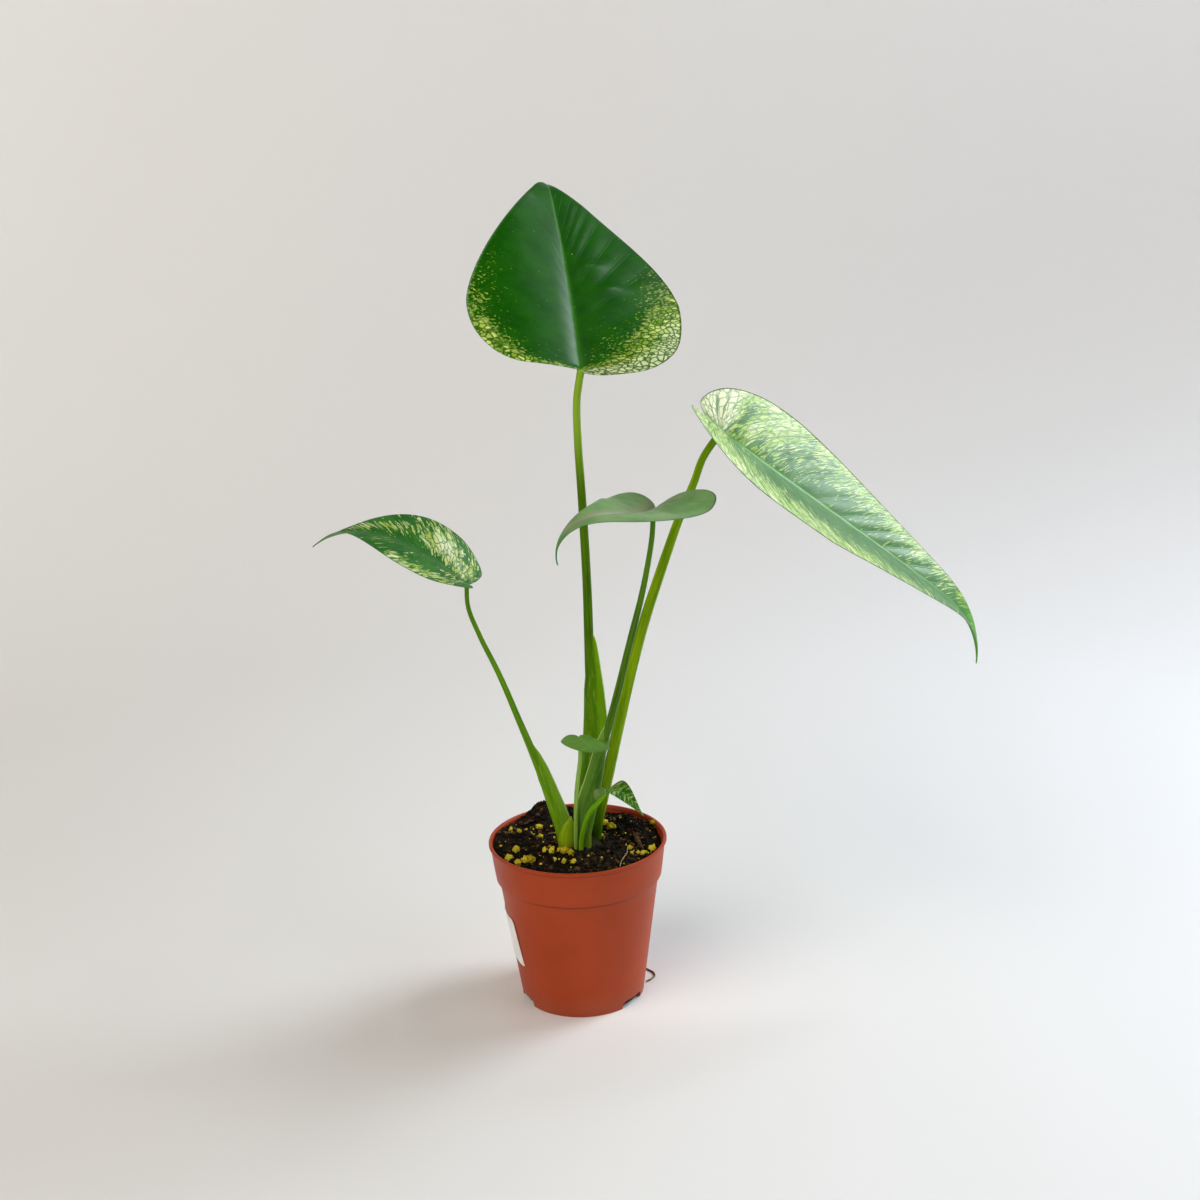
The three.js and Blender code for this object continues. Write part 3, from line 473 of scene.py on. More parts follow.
def joined(parts):
    """Several (points, faces) as one, with the number of the part that each point came from."""
    points, faces, owner, count = [], [], [], 0
    for k, (p, f) in enumerate(parts):
        points.append(p)
        faces.extend(tuple(i + count for i in face) for face in f)
        owner.append(np.full(len(p), k))
        count += len(p)
    return np.concatenate(points), faces, np.concatenate(owner)


def ball(level):
    """Points and faces of a round ball of triangles, radius 1."""
    gold = (1 + math.sqrt(5)) / 2
    points = [
        (-1, gold, 0), (1, gold, 0), (-1, -gold, 0), (1, -gold, 0), (0, -1, gold), (0, 1, gold),
        (0, -1, -gold), (0, 1, -gold), (gold, 0, -1), (gold, 0, 1), (-gold, 0, -1), (-gold, 0, 1),
    ]
    faces = [
        (0, 11, 5), (0, 5, 1), (0, 1, 7), (0, 7, 10), (0, 10, 11), (1, 5, 9), (5, 11, 4), (11, 10, 2),
        (10, 7, 6), (7, 1, 8), (3, 9, 4), (3, 4, 2), (3, 2, 6), (3, 6, 8), (3, 8, 9), (4, 9, 5), (2, 4, 11),
        (6, 2, 10), (8, 6, 7), (9, 8, 1),
    ]
    points = [tuple(unit(np.array(p))) for p in points]
    for _ in range(level):
        halves = {}

        def half(a, b):
            key = (min(a, b), max(a, b))
            if key not in halves:
                halves[key] = len(points)
                points.append(tuple(unit(np.add(points[a], points[b]))))
            return halves[key]

        split = []
        for a, b, c in faces:
            ab, bc, ca = half(a, b), half(b, c), half(c, a)
            split += [(a, ab, ca), (b, bc, ab), (c, ca, bc), (ab, bc, ca)]
        faces = split
    return np.array(points), faces


def lump(shape, draw, size, flat, knob):
    """A knobbly stone from a ball: size is half its width, flat its height against that."""
    points, faces = shape
    shift = Vector([50 * draw.random() for _ in range(3)])
    swell = np.array([1 + knob * noise.noise(Vector(p) * 1.7 + shift) for p in points])
    stretch = np.array([1.0, 0.65 + 0.3 * draw.random(), flat])
    turn = Matrix.Rotation(TURN * draw.random(), 3, "Z") @ Matrix.Rotation(draw.uniform(-0.6, 0.6), 3, "X")
    return (points * swell[:, None] * stretch * size) @ np.array(turn).T, faces


# Where things lie in the photograph


def sight(px, py):
    """The camera's place and the way from it through a pixel of the photograph."""
    lean, down = math.radians(CAMERA["lean"]), math.radians(CAMERA["down"])
    dx, dy = px - CAMERA["frame"] / 2, py - CAMERA["frame"] / 2
    x, y = dx * math.cos(lean) - dy * math.sin(lean), dx * math.sin(lean) + dy * math.cos(lean)
    up = np.array([0, math.sin(down), math.cos(down)])
    forward = np.array([0, math.cos(down), -math.sin(down)])
    return np.array(CAMERA["place"]), np.array([x, 0, 0]) - y * up + CAMERA["focal"] * forward


def on_soil(px, py):
    """The point of the soil that shows at a pixel of the photograph."""
    start, way = sight(px, py)
    height = SOIL["level"]
    for _ in range(6):
        x, y, _z = start + way * (height - start[2]) / way[2]
        height = float(soil_height(x, y))
    return x, y, height


# Pot and soil shapes


def body_radius(z):
    """Radius of the outside of the pot's body at a height."""
    return POT["foot_radius"] + (POT["body_top_radius"] - POT["foot_radius"]) * z / POT["ledge"]


def collar_radius(z):
    """Radius of the inside of the collar at a height."""
    inner_ledge = POT["ledge"] + POT["inner_ledge_rise"]
    slope = (POT["collar_top_radius"] - POT["collar_bottom_radius"]) / (POT["height"] - inner_ledge)
    return POT["collar_bottom_radius"] - POT["wall"] + slope * (z - inner_ledge)


def soil_height(x, y):
    """The soil's height without its crumbs."""
    total = SOIL["level"] + 0 * x
    for at_x, at_y, rise, spread in RISES.values():
        total = total + rise * gauss(np.hypot(x - at_x, y - at_y), spread)
    return total


def crumbled(x, y):
    """The soil's height with its crumbs."""
    coarse = noise.fractal(Vector((x * 0.11, y * 0.11, 3.1)), 0.9, 2.1, 4)
    fine = noise.turbulence(Vector((x * 0.42, y * 0.42, 7.7)), 3, False)
    return float(soil_height(x, y)) + 1.5 * coarse + 1.5 * (fine - 0.45)


def pot_outline():
    """The pot's section as radii and heights, from the foot up the outside and down the inside."""
    foot, wall, ledge, top = POT["foot_radius"], POT["wall"], POT["ledge"], POT["height"]
    skirt, collar, lip = POT["collar_bottom_radius"], POT["collar_top_radius"], POT["lip_radius"]
    inner_ledge, below_lip = ledge + POT["inner_ledge_rise"], top - POT["lip_height"]
    return [
        (foot - 0.5, 0.0), (foot - 0.1, 0.15), (foot + 0.05, 0.6),
        *[(body_radius(z), z) for z in (8, 20, 34, 48, 62, 75, ledge - 0.6)],
        (body_radius(ledge) + 0.15, ledge - 0.15), (skirt - 0.7, ledge), (skirt - 0.2, ledge + 0.15),
        (skirt + 0.02, ledge + 0.6), (skirt + 1.3, ledge + 10), (collar - 0.2, below_lip - 1.0),
        (collar + 0.1, below_lip - 0.1), (lip - 0.3, below_lip + 0.1), (lip, below_lip + 0.6),
        (lip, top - 0.7), (lip - 0.2, top - 0.2), (lip - 0.6, top), (lip - wall, top),
        (lip - wall - 0.6, top - 0.2), *[(collar_radius(z), z) for z in (top - 0.9, 105, inner_ledge + 0.5)],
        (collar_radius(inner_ledge) - 0.3, inner_ledge), (body_radius(ledge) - wall, ledge - 0.5),
        *[(body_radius(z) - wall, z) for z in (40, POT["floor"])],
    ]


def notch_wedge(angle):
    """A wedge that cuts a notch through the foot, at an angle from +X, with the notch's upper edges eased."""
    half, steps, top, edge = math.radians(NOTCH["width"] / 2), 8, NOTCH["height"], 1.2
    rings = []
    for z, ease in ((-1.0, 0.0), (top - edge, 0.0), (top, 0.06)):
        sweep = np.linspace(half - ease, -half + ease, steps)
        ring = []
        for radius, angles in ((NOTCH["inner_radius"], sweep), (NOTCH["outer_radius"], sweep[::-1])):
            ring += [(radius * math.cos(angle + a), radius * math.sin(angle + a), z) for a in angles]
        rings.append(ring)
    return mesh_object("notch_wedge", *loft(rings))


def label_sheet():
    """The label's thin curved sheet with rounded corners, as points and faces."""
    columns, rows, corner = LABEL["columns"], LABEL["rows"], LABEL["corner"]
    grid = []
    for r in range(rows + 1):
        up = r / rows
        # The corners are slightly rounded.
        inset = corner * (1 - math.sqrt(max(0, 1 - max(0, 1 - min(up, 1 - up) / corner) ** 2)))
        for c in range(columns + 1):
            share = inset + (1 - 2 * inset) * c / columns
            angle = math.radians(LABEL["right"] + LABEL["lean"] * up - LABEL["wide"] * share - 90)
            z = LABEL["bottom"] + LABEL["tall"] * up + LABEL["rise"] * share
            # The paper bulges a little, and stands off at its upper right corner.
            lift = 0.25 + 0.10 * math.sin(9 * share + 2 * up) * math.sin(5 * up)
            lift += 0.5 * max(0, 0.08 - share) / 0.08 * up
            grid.append((math.cos(angle), math.sin(angle), z, body_radius(z) + lift))
    points = []
    for far in (0.0, LABEL["thickness"]):
        points += [((r + far) * c, (r + far) * s, z) for c, s, z, r in grid]
    wide, count = columns + 1, len(grid)
    inner = [f[::-1] for f in grid_faces(rows + 1, wide, False)]
    outer = grid_faces(rows + 1, wide, False, count)
    rim = [r * wide for r in range(rows)] + [rows * wide + c for c in range(columns)]
    rim += [(rows - r) * wide + columns for r in range(rows)] + [columns - c for c in range(columns)]
    walls = [(a, b, b + count, a + count) for a, b in zip(rim, rim[1:] + rim[:1])]
    return points, [f[::-1] for f in inner + outer] + walls


def spot(radius, draw):
    """A point at a distance from the pot's middle, whichever way the draw turns it."""
    angle = TURN * draw.random()
    return radius * math.cos(angle), radius * math.sin(angle)


def off_crown(x, y):
    """How far a point of the soil lies from the crown's middle."""
    return math.hypot(x - CROWN["x"], y - CROWN["y"])


# Leaf shapes


def margin_line(leaf, side, rows):
    """One half of the margin from stalk to tip: x in half widths and y in lengths, evenly spaced."""
    lobe, widest, reach = leaf["lobe"][side], leaf["widest"][side], leaf["reach"][side]
    power = 2 / leaf["square"][side]
    a = np.linspace(0, math.pi / 2, 40)
    outward, forward = np.sin(a) ** power, 1 - np.maximum(np.cos(a), 0) ** power
    back = np.stack([reach * (1 - np.cos(a)), -lobe * np.sin(a)], -1)
    out = np.stack([reach + (1 - reach) * outward, -lobe + (widest + lobe) * forward], -1)
    t = np.linspace(0, 1, 120)[1:]
    narrowing = (1 - t ** leaf["taper"][side]) ** leaf["fullness"][side]
    tail = np.stack([narrowing, widest + (1 - widest) * t], -1)
    line = np.concatenate([back, out[1:], tail])
    step = np.hypot(np.diff(line[:, 0]) * leaf["half"][side] / leaf["length"], np.diff(line[:, 1]))
    run = np.concatenate([[0], np.cumsum(step)])
    want = np.linspace(0, run[-1], rows + 1)
    return np.interp(want, run, line[:, 0]), np.interp(want, run, line[:, 1])


def vein_start(u):
    """Where on the midrib the rows u start, in lengths."""
    rows, length = VEIN["fan_rows"], VEIN["fan_length"]
    later = length + (1 - length) * np.clip((u - rows) / (1 - rows), 0, 1) ** VEIN["crowding"]
    return np.where(u < rows, length * u / rows, later)


def midrib(leaf, y):
    """Places on the midrib at lengths y, with the blade's across and up directions there."""
    s = np.linspace(0, 1, MIDRIB_STEPS + 1)
    past = np.clip((s - leaf["hook_from"]) / (1 - leaf["hook_from"]), 0, 1)
    bend = leaf["droop"] * s ** leaf["droop_power"] + leaf["hook"] * past**HOOK_POWER
    pitch, heading = np.radians(leaf["pitch"] - bend), np.radians(leaf["heading"] + leaf["turn"] * s)
    along = np.stack([np.cos(pitch) * np.cos(heading), np.cos(pitch) * np.sin(heading), np.sin(pitch)], -1)
    run = np.concatenate([np.zeros((1, 3)), np.cumsum((along[1:] + along[:-1]) / 2, 0)])
    run = run * leaf["length"] / MIDRIB_STEPS + leaf["at"]
    share = np.clip(y / leaf["length"], 0, 1)

    def read(values):
        return np.stack([np.interp(share, s, values[:, k]) for k in range(3)], -1)

    way = unit(read(along))
    place = read(run) + way * np.minimum(y, 0)[..., None]
    turned_to = np.interp(share, s, heading)
    level = np.stack([-np.sin(turned_to), np.cos(turned_to), 0 * turned_to], -1)
    normal = np.cross(way, level)
    roll = np.radians(leaf["roll"] + leaf["twist"] * share)[..., None]
    return place, level * np.cos(roll) + normal * np.sin(roll), normal * np.cos(roll) - level * np.sin(roll)


def half_blade(leaf, side):
    """The smooth middle surface of half a blade, and its flat coordinates across and along."""
    u = np.linspace(0, 1, leaf["rows"] + 1)[:, None]
    t = np.linspace(0, 1, leaf["columns"] + 1)[None, :]
    edge_x, edge_y = (v[:, None] for v in margin_line(leaf, side, leaf["rows"]))
    half, length = leaf["half"][side], leaf["length"]
    edge_x, edge_y, start = edge_x * half, edge_y * length, vein_start(u) * length
    bend_x = VEIN["bend_out"] * edge_x
    bend_y = start + VEIN["bend_forward"] * (edge_y - start)
    x = 2 * t * (1 - t) * bend_x + t * t * edge_x
    y = (1 - t) ** 2 * start + 2 * t * (1 - t) * bend_y + t * t * edge_y
    fold = math.radians(leaf["fold"][side]) * (1 - (1 - leaf["tip_fold"]) * smooth(y / length, 0.8, 0.97))
    curve = -math.radians(leaf["cup"][side]) / half
    angle = fold + curve * x
    spread = (np.sin(angle) - np.sin(fold)) / curve
    rise = (np.cos(fold) - np.cos(angle)) / curve
    lean = LOBE_ZONE - y / length
    back = (lean + np.hypot(lean, LOBE_EASE)) / 2
    lift = leaf["lobe_lift"][side] * back * length * np.clip(x / half, 0, 1) ** leaf["lobe_bend"][side]
    place, across, up = midrib(leaf, y)
    sign = 1 if side == 0 else -1
    surface = place + sign * across * spread[..., None] + up * (rise + lift)[..., None]
    return surface, x, y


def marbling(name, side, u, t):
    """How much of the blade is cream at rows u and shares t."""
    total = MARBLING[name]["base"] + 0 * u * t
    for on_side, row, share, row_spread, share_spread, strength in MARBLING[name]["patches"]:
        if on_side == side:
            total = total + strength * gauss(u - row, row_spread) * gauss(t - share, share_spread)
    return total


def half_sheet(name, side):
    """Half a blade: surface, flat coordinates, rows, shares, cream, and its side veins' coordinates."""
    leaf = LEAVES[name]
    surface, x, y = half_blade(leaf, side)
    u = np.linspace(0, 1, leaf["rows"] + 1)[:, None] + 0 * x
    t = np.linspace(0, 1, leaf["columns"] + 1)[None, :] + 0 * x
    # The side veins leave the midrib evenly, sweep towards the tip, and fan out over the lobes.
    share = x / leaf["half"][side]
    bent = y - leaf["sweep"][0] * leaf["length"] * share**2
    fan = FAN_WIDTH * np.arctan2(bent, x + 1)
    even = bent / (1 + leaf["sweep"][1] * share)
    vein = np.where(bent > 0, even, fan) / leaf["length"]
    laid = np.where(bent > 0, even * (1 + 0.5 * leaf["sweep"][1] * share), fan)
    reach = np.hypot(x, np.minimum(bent, 0))
    return surface, x, y, u, t, marbling(name, side, u, t), vein, laid, reach


def upward(leaf, surface):
    """Which way is up out of the blade at each point of its surface."""
    rows, columns = leaf["rows"], leaf["columns"]
    normal = unit(np.cross(np.gradient(surface, axis=1), np.gradient(surface, axis=0)))
    normal[0], normal[-1] = normal[1:4, columns].mean(0), normal[-2, columns]
    halfway_up = midrib(leaf, np.array([leaf["length"] / 2]))[2][0]
    return -normal if normal[rows // 2, columns] @ halfway_up < 0 else normal


def swelling(leaf, relief, sign, x, u, t, vein, phase):
    """How high the blade's upper side stands over the smooth surface."""
    # The side veins lie in grooves, and the blade swells between them.
    swell = np.abs(np.sin(math.pi * phase)) ** 0.8 - 0.5
    fade = np.sin(math.pi * np.clip(t, 0, 1) ** 0.6) ** 0.8 * smooth(u, 0.02, 0.14) * smooth(vein, 0.8, 0.45)
    high = relief * np.where(sign < 0, *leaf["quilt"]) * swell * fade
    for side, row, share, row_spread, share_spread, rise in leaf["humps"]:
        hump = relief * rise * gauss(u - row, row_spread) * gauss(t - share, share_spread)
        high = high + hump * (sign == 2 * side - 1)
    # The midrib lies in a groove at the bottom of a shallow valley, and the margin waves.
    valley = relief * leaf["valley"] * gauss(x, RIB["valley_spread"])
    high = high - valley * smooth(u, 0.0, 0.15) * (1 - 0.6 * u)
    groove_spread = leaf["rib"] * (1 - RIB["narrowing"] * u) + RIB["groove_spread"]
    high = high - RIB["groove"] * leaf["rib"] * (1 - 0.7 * u) * gauss(x, groove_spread)
    wave = MARGIN["wave"] * sum(leaf["half"]) * np.sin(MARGIN["wave_turn"] * u + 2.1 * sign) * t**4
    return high + wave * smooth(u, 0.1, 0.3) * smooth(1 - u, 0, 0.2)


def blade_skin(top, bottom, surface, rim_out):
    """Two layers and a rounded rim, as points, faces, their materials, and each point's row and column."""
    rows, wide = surface.shape[0] - 1, surface.shape[1]
    upper, under, rim = 0, 1, 2
    points, number, at, faces, material_of = [], {}, [], [], []

    def point(layer, r, c):
        """The number of a point of a layer, with all those of the first or last row as one."""
        if r in (0, rows):
            c = wide // 2
        key = (layer, r, c)
        if key not in number:
            number[key] = len(points)
            if layer == rim:
                outward = surface[r, c] - surface[r, c + (1 if c == 0 else -1)]
                points.append((top[r, c] + bottom[r, c]) / 2 + unit(outward) * rim_out)
            else:
                points.append((top, bottom)[layer][r, c])
            at.append((r, c))
        return number[key]

    def face(corners, ahead, material):
        """One face, unless its corners fall together, with its outer side out."""
        corners = list(dict.fromkeys(point(*corner) for corner in corners))
        if len(corners) > 2:
            faces.append(corners if ahead else corners[::-1])
            material_of.append(material)

    for layer in (upper, under):
        for r in range(rows):
            for c in range(wide - 1):
                square = (layer, r, c), (layer, r, c + 1), (layer, r + 1, c + 1), (layer, r + 1, c)
                face(square, layer, layer)
    for r in range(rows):
        for c in (0, wide - 1):
            for pair in ((upper, rim), (rim, under)):
                # At both ends of the margin the rim runs out to nothing.
                a, b = (upper, under) if r == 0 else pair
                d, e = (upper, under) if r == rows - 1 else pair
                face(((a, r, c), (b, r, c), (e, r + 1, c), (d, r + 1, c)), c, upper)
    return np.array(points), faces, material_of, tuple(np.array(at).T)


def blade_mesh(name, thickness, relief):
    """A blade as points, faces, the faces' materials and the points' fields."""
    leaf = LEAVES[name]
    # One sheet from the left margin across the midrib to the right margin.
    halves = zip(half_sheet(name, 0), half_sheet(name, 1))
    sheet = [np.concatenate([np.flip(left, 1), right[:, 1:]], 1) for left, right in halves]
    surface, x, y, u, t, cream, vein, laid, reach = sheet
    sign = np.where(np.arange(x.shape[1]) < leaf["columns"], -1.0, 1.0)[None, :] + 0 * x
    phase = leaf["veins"] * (vein + 0.008 * np.sin(19 * vein + 2 * sign)) + 0.25 * (1 + sign)
    high = swelling(leaf, relief, sign, x, u, t, vein, phase)
    thin = thickness * (0.5 - MARGIN["thinning"] * smooth(t, 0.9, 1.0))
    rib_width = leaf["rib"] * (1 - RIB["narrowing"] * u)
    round_rib = np.sqrt(np.clip(1 - (x / (rib_width + 0.2)) ** 2, 0, 1))
    rib = leaf["rib"] * RIB["below"] * (1 - 0.75 * u) * round_rib
    normal = upward(leaf, surface)
    top = surface + normal * (high + thin)[..., None]
    bottom = surface + normal * (high - thin - rib)[..., None]
    points, faces, material_of, at = blade_skin(top, bottom, surface, thickness * MARGIN["round"])
    fields = {
        "veins": np.stack([sign[at] * t[at], u[at], phase[at]], -1),
        "flat": np.stack([sign[at] * x[at], y[at], 0 * x[at]], -1) / 10,
        "laid": np.stack([sign[at] * reach[at], laid[at] + 90 * sign[at], 0 * x[at]], -1) / 10,
        "cream": cream[at],
    }
    return points, faces, material_of, fields


# Finishes


class Finish:
    """A material under construction, with short ways to add the nodes that its pattern needs."""

    def __init__(self, name):
        self.material = bpy.data.materials.new(name)
        self.material.use_nodes = True
        self.tree = self.material.node_tree
        self.tree.nodes.clear()
        self.shader = self.tree.nodes.new("ShaderNodeBsdfPrincipled")
        output = self.tree.nodes.new("ShaderNodeOutputMaterial")
        self.tree.links.new(self.shader.outputs[0], output.inputs[0])

    def put(self, socket, value):
        """A link, a colour or a number into a socket."""
        if isinstance(value, bpy.types.NodeSocket):
            self.tree.links.new(value, socket)
        elif isinstance(value, (tuple, list)) and len(value) == 3 and socket.type == "RGBA":
            socket.default_value = (*value, 1)
        else:
            socket.default_value = value

    def node(self, kind, inputs=None, **choices):
        """A node of a kind, with what goes into its sockets and its own choices."""
        made = self.tree.nodes.new("ShaderNode" + kind)
        for name, value in choices.items():
            setattr(made, name, value)
        for name, value in (inputs or {}).items():
            self.put(made.inputs[name], value)
        return made

    def set(self, **sockets):
        """Numbers, colours or patterns for the shader's own sockets, with _ for a space in their names."""
        for name, value in sockets.items():
            self.put(self.shader.inputs[name.replace("_", " ")], value)
        return self

    def math(self, operation, a, b=0.0, clamp=False):
        """A pattern worked out from one or two patterns or numbers."""
        return self.node("Math", {0: a, 1: b}, operation=operation, use_clamp=clamp).outputs[0]

    def step(self, value, low, high, start=0.0, end=1.0):
        """start below low and end above high, with an even S between."""
        limits = {"Value": value, "From Min": low, "From Max": high, "To Min": start, "To Max": end}
        return self.node("MapRange", limits, interpolation_type="SMOOTHSTEP").outputs[0]

    def mix(self, share, a, b):
        """Colour a where share is 0 and colour b where it is 1."""
        return self.node("Mix", {0: share, 6: a, 7: b}, data_type="RGBA").outputs[2]

    def times(self, a, b):
        return self.math("MULTIPLY", a, b)

    def field(self, name):
        """A named field of the mesh, as its vector and its first number."""
        made = self.node("Attribute", attribute_name=name)
        return made.outputs["Vector"], made.outputs["Fac"]

    def parts(self, vector):
        """The three numbers of a vector pattern."""
        return self.node("SeparateXYZ", {0: vector}).outputs

    def scaled(self, vector, x, y, z=1.0):
        """Coordinates stretched along each axis."""
        return self.node("Mapping", {"Vector": vector, "Scale": (x, y, z)}).outputs[0]

    def shaken(self, vector, by, amount):
        """vector moved about by a colour pattern."""
        centred = self.node("VectorMath", {0: by, 1: (0.5, 0.5, 0.5)}, operation="SUBTRACT").outputs[0]
        moved = self.node("VectorMath", {0: centred, "Scale": amount}, operation="SCALE").outputs[0]
        return self.node("VectorMath", {0: vector, 1: moved}, operation="ADD").outputs[0]

    def noise(self, vector, scale, detail=3.0, rough=0.55, colour=False):
        """A cloudy pattern, as a number or as a colour."""
        made = self.node("TexNoise", {"Vector": vector, "Scale": scale, "Detail": detail, "Roughness": rough})
        return made.outputs["Color" if colour else "Fac"]

    def cells(self, vector, scale, edges=False):
        """A random number for each cell, or the distance to the cells' edges."""
        feature = "DISTANCE_TO_EDGE" if edges else "F1"
        made = self.node("TexVoronoi", {"Vector": vector, "Scale": scale}, feature=feature)
        return made.outputs["Distance"] if edges else self.parts(made.outputs["Color"])[0]

    def place(self):
        """The point's own place in the row frame, in metres."""
        return self.node("NewGeometry").outputs["Position"]

    def bump(self, height, depth, strength=1.0):
        """Fine relief from a pattern, with its depth in metres."""
        made = self.node("Bump", {"Strength": strength, "Distance": depth, "Height": height})
        self.put(self.shader.inputs["Normal"], made.outputs[0])
        return self


def cream_pattern(f, look, laid, cream):
    """Where a blade is cream, how much cream lies round about, and a tint for each cell."""
    clump = f.noise(f.scaled(laid, 0.45, 1.3), 1.0, 4.0, 0.6)
    amount = f.math("ADD", cream, f.times(f.math("SUBTRACT", clump, 0.5), look["clump"]))
    # Cells with a net between them where there is much cream, and fine streaks wherever there is any.
    cell = f.scaled(laid, 1 / look["cell"][0], 1 / look["cell"][1])
    tint = f.cells(cell, 1.0)
    lit = f.math("SUBTRACT", f.math("SUBTRACT", amount, look["cell_from"]), f.times(tint, 0.8))
    lit = f.math("MULTIPLY", lit, 3.0, clamp=True)
    net = f.step(f.cells(cell, 1.0, edges=True), 0.02, look["net_width"], look["net"], 1.0)
    net = f.math("MAXIMUM", net, f.step(amount, 0.3, 0.8, 1.0, 0.0))
    streak = f.noise(f.scaled(laid, 1 / look["fleck"][0], 1 / look["fleck"][1]), 1.0, 3.0, 0.6)
    start = f.math("SUBTRACT", 0.70, f.times(f.math("MINIMUM", amount, 0.75), 0.42))
    streaks = f.step(streak, start, f.math("ADD", start, look["soft"]))
    spots = f.times(f.math("MAXIMUM", lit, f.times(streaks, look["fleck_share"])), net)
    return spots, amount, tint


def vein_pattern(f, look, laid, cream, phase, side):
    """The side veins, with minor veins between them where the blade is marbled, fading at the margin."""
    near = f.math("ABSOLUTE", f.math("SUBTRACT", f.math("FRACT", phase), 0.5))
    major = f.step(f.math("SUBTRACT", 0.5, near), 0.01, 0.05, 1.0, 0.0)
    minor = f.math("FRACT", f.math("ADD", f.times(phase, 4.0), f.noise(laid, 0.7, 2.0)))
    minor = f.step(f.math("ABSOLUTE", f.math("SUBTRACT", minor, 0.5)), 0.03, 0.16, look["minor"], 0.0)
    both = f.math("MAXIMUM", major, f.times(minor, f.step(cream, 0.45, 0.8)))
    return f.times(both, f.step(side, 0.75, 1.0, 1.0, 0.3))


def leaf_finish(name, under):
    """The upper or under side of a blade: green, with cream cells of many shades in a net of fine veins."""
    look = LOOKS[name]
    f = Finish(f"blade_{name}_{'under' if under else 'upper'}")
    veins, _ = f.field("veins")
    flat, _ = f.field("flat")
    _, cream = f.field("cream")
    t, u, phase = f.parts(veins)
    across, _, _ = f.parts(flat)
    side = f.math("ABSOLUTE", t)
    # Coordinates that run with the side veins, in centimetres: out to the margin, and across the veins.
    laid, _ = f.field("laid")
    laid = f.shaken(laid, f.noise(flat, 0.8, 2.0, colour=True), 0.3)
    laid = f.shaken(laid, f.noise(flat, 6.0, 2.0, colour=True), look["shake"])
    spots, amount, tint = cream_pattern(f, look, laid, cream)
    on_vein = vein_pattern(f, look, laid, cream, phase, side)
    # Green, deeper here and there and lighter along the fibres.
    cloud = f.noise(flat, 0.55, 4.0)
    green = f.mix(f.step(cloud, 0.35, 0.65), look["green"], look["green_deep"])
    fibre = f.noise(f.scaled(laid, 0.9, 8.0), 1.0, 3.0)
    green = f.mix(f.step(fibre, 0.42, 0.75, 0.0, look["fibre"]), green, look["green_light"])
    pale = f.mix(tint, look["cream"], look["cream_warm"])
    pale = f.mix(f.step(amount, 0.8, 1.5, 0.0, look["whiten"]), pale, look["white"])
    colour = f.mix(spots, green, pale)
    colour = f.mix(f.times(on_vein, look["vein_share"]), colour, look["vein"])
    # The midrib, with a band of its colour beside it, and the margin. On the middle blade the wide grey band
    # beside the midrib is a painted sheen.
    rib_width = f.times(f.math("SUBTRACT", 1.0, f.times(u, 0.75)), LEAVES[name]["rib"] / 10)
    to_rib = f.math("DIVIDE", f.math("ABSOLUTE", across), rib_width)
    colour = f.mix(f.step(to_rib, 0.3, look["reach"], look["band"], 0.0), colour, look["rib"])
    colour = f.mix(f.step(to_rib, 0.5, 1.4, look["rib_share"] * 0.7, 0.0), colour, look["rib"])
    colour = f.mix(f.step(side, 0.975, 0.995, 0.0, look["edge_share"]), colour, look["edge"])
    if "tip" in look:
        tip = f.step(u, *look["tip"], 0.0, 0.9)
        if "tip_side" in look:
            tip = f.times(tip, f.step(t, *look["tip_side"], 1.0, 0.0))
        colour = f.mix(tip, colour, look["under"])
    gloss = f.times(cloud, 0.12)
    height = f.math("SUBTRACT", f.times(fibre, 0.6), on_vein)
    if under:
        colour = f.mix(0.6, colour, look["under"])
        f.set(Roughness=f.math("ADD", look["roughness"] + 0.15, gloss), Specular_IOR_Level=0.2)
    else:
        # The left side of the midrib's valley catches the light, and each half shines in its own way.
        sheen = f.times(f.step(t, -0.2, -0.02), f.step(t, -0.01, 0.04, 1.0, 0.0))
        sheen = f.math("ADD", f.times(sheen, look["rib_shine"]), f.step(t, -0.1, 0.1, *look["shine"]))
        f.set(Roughness=f.math("ADD", look["roughness"], gloss), Specular_IOR_Level=sheen)
    return f.set(Base_Color=colour).bump(height, 0.00012, 0.5).material


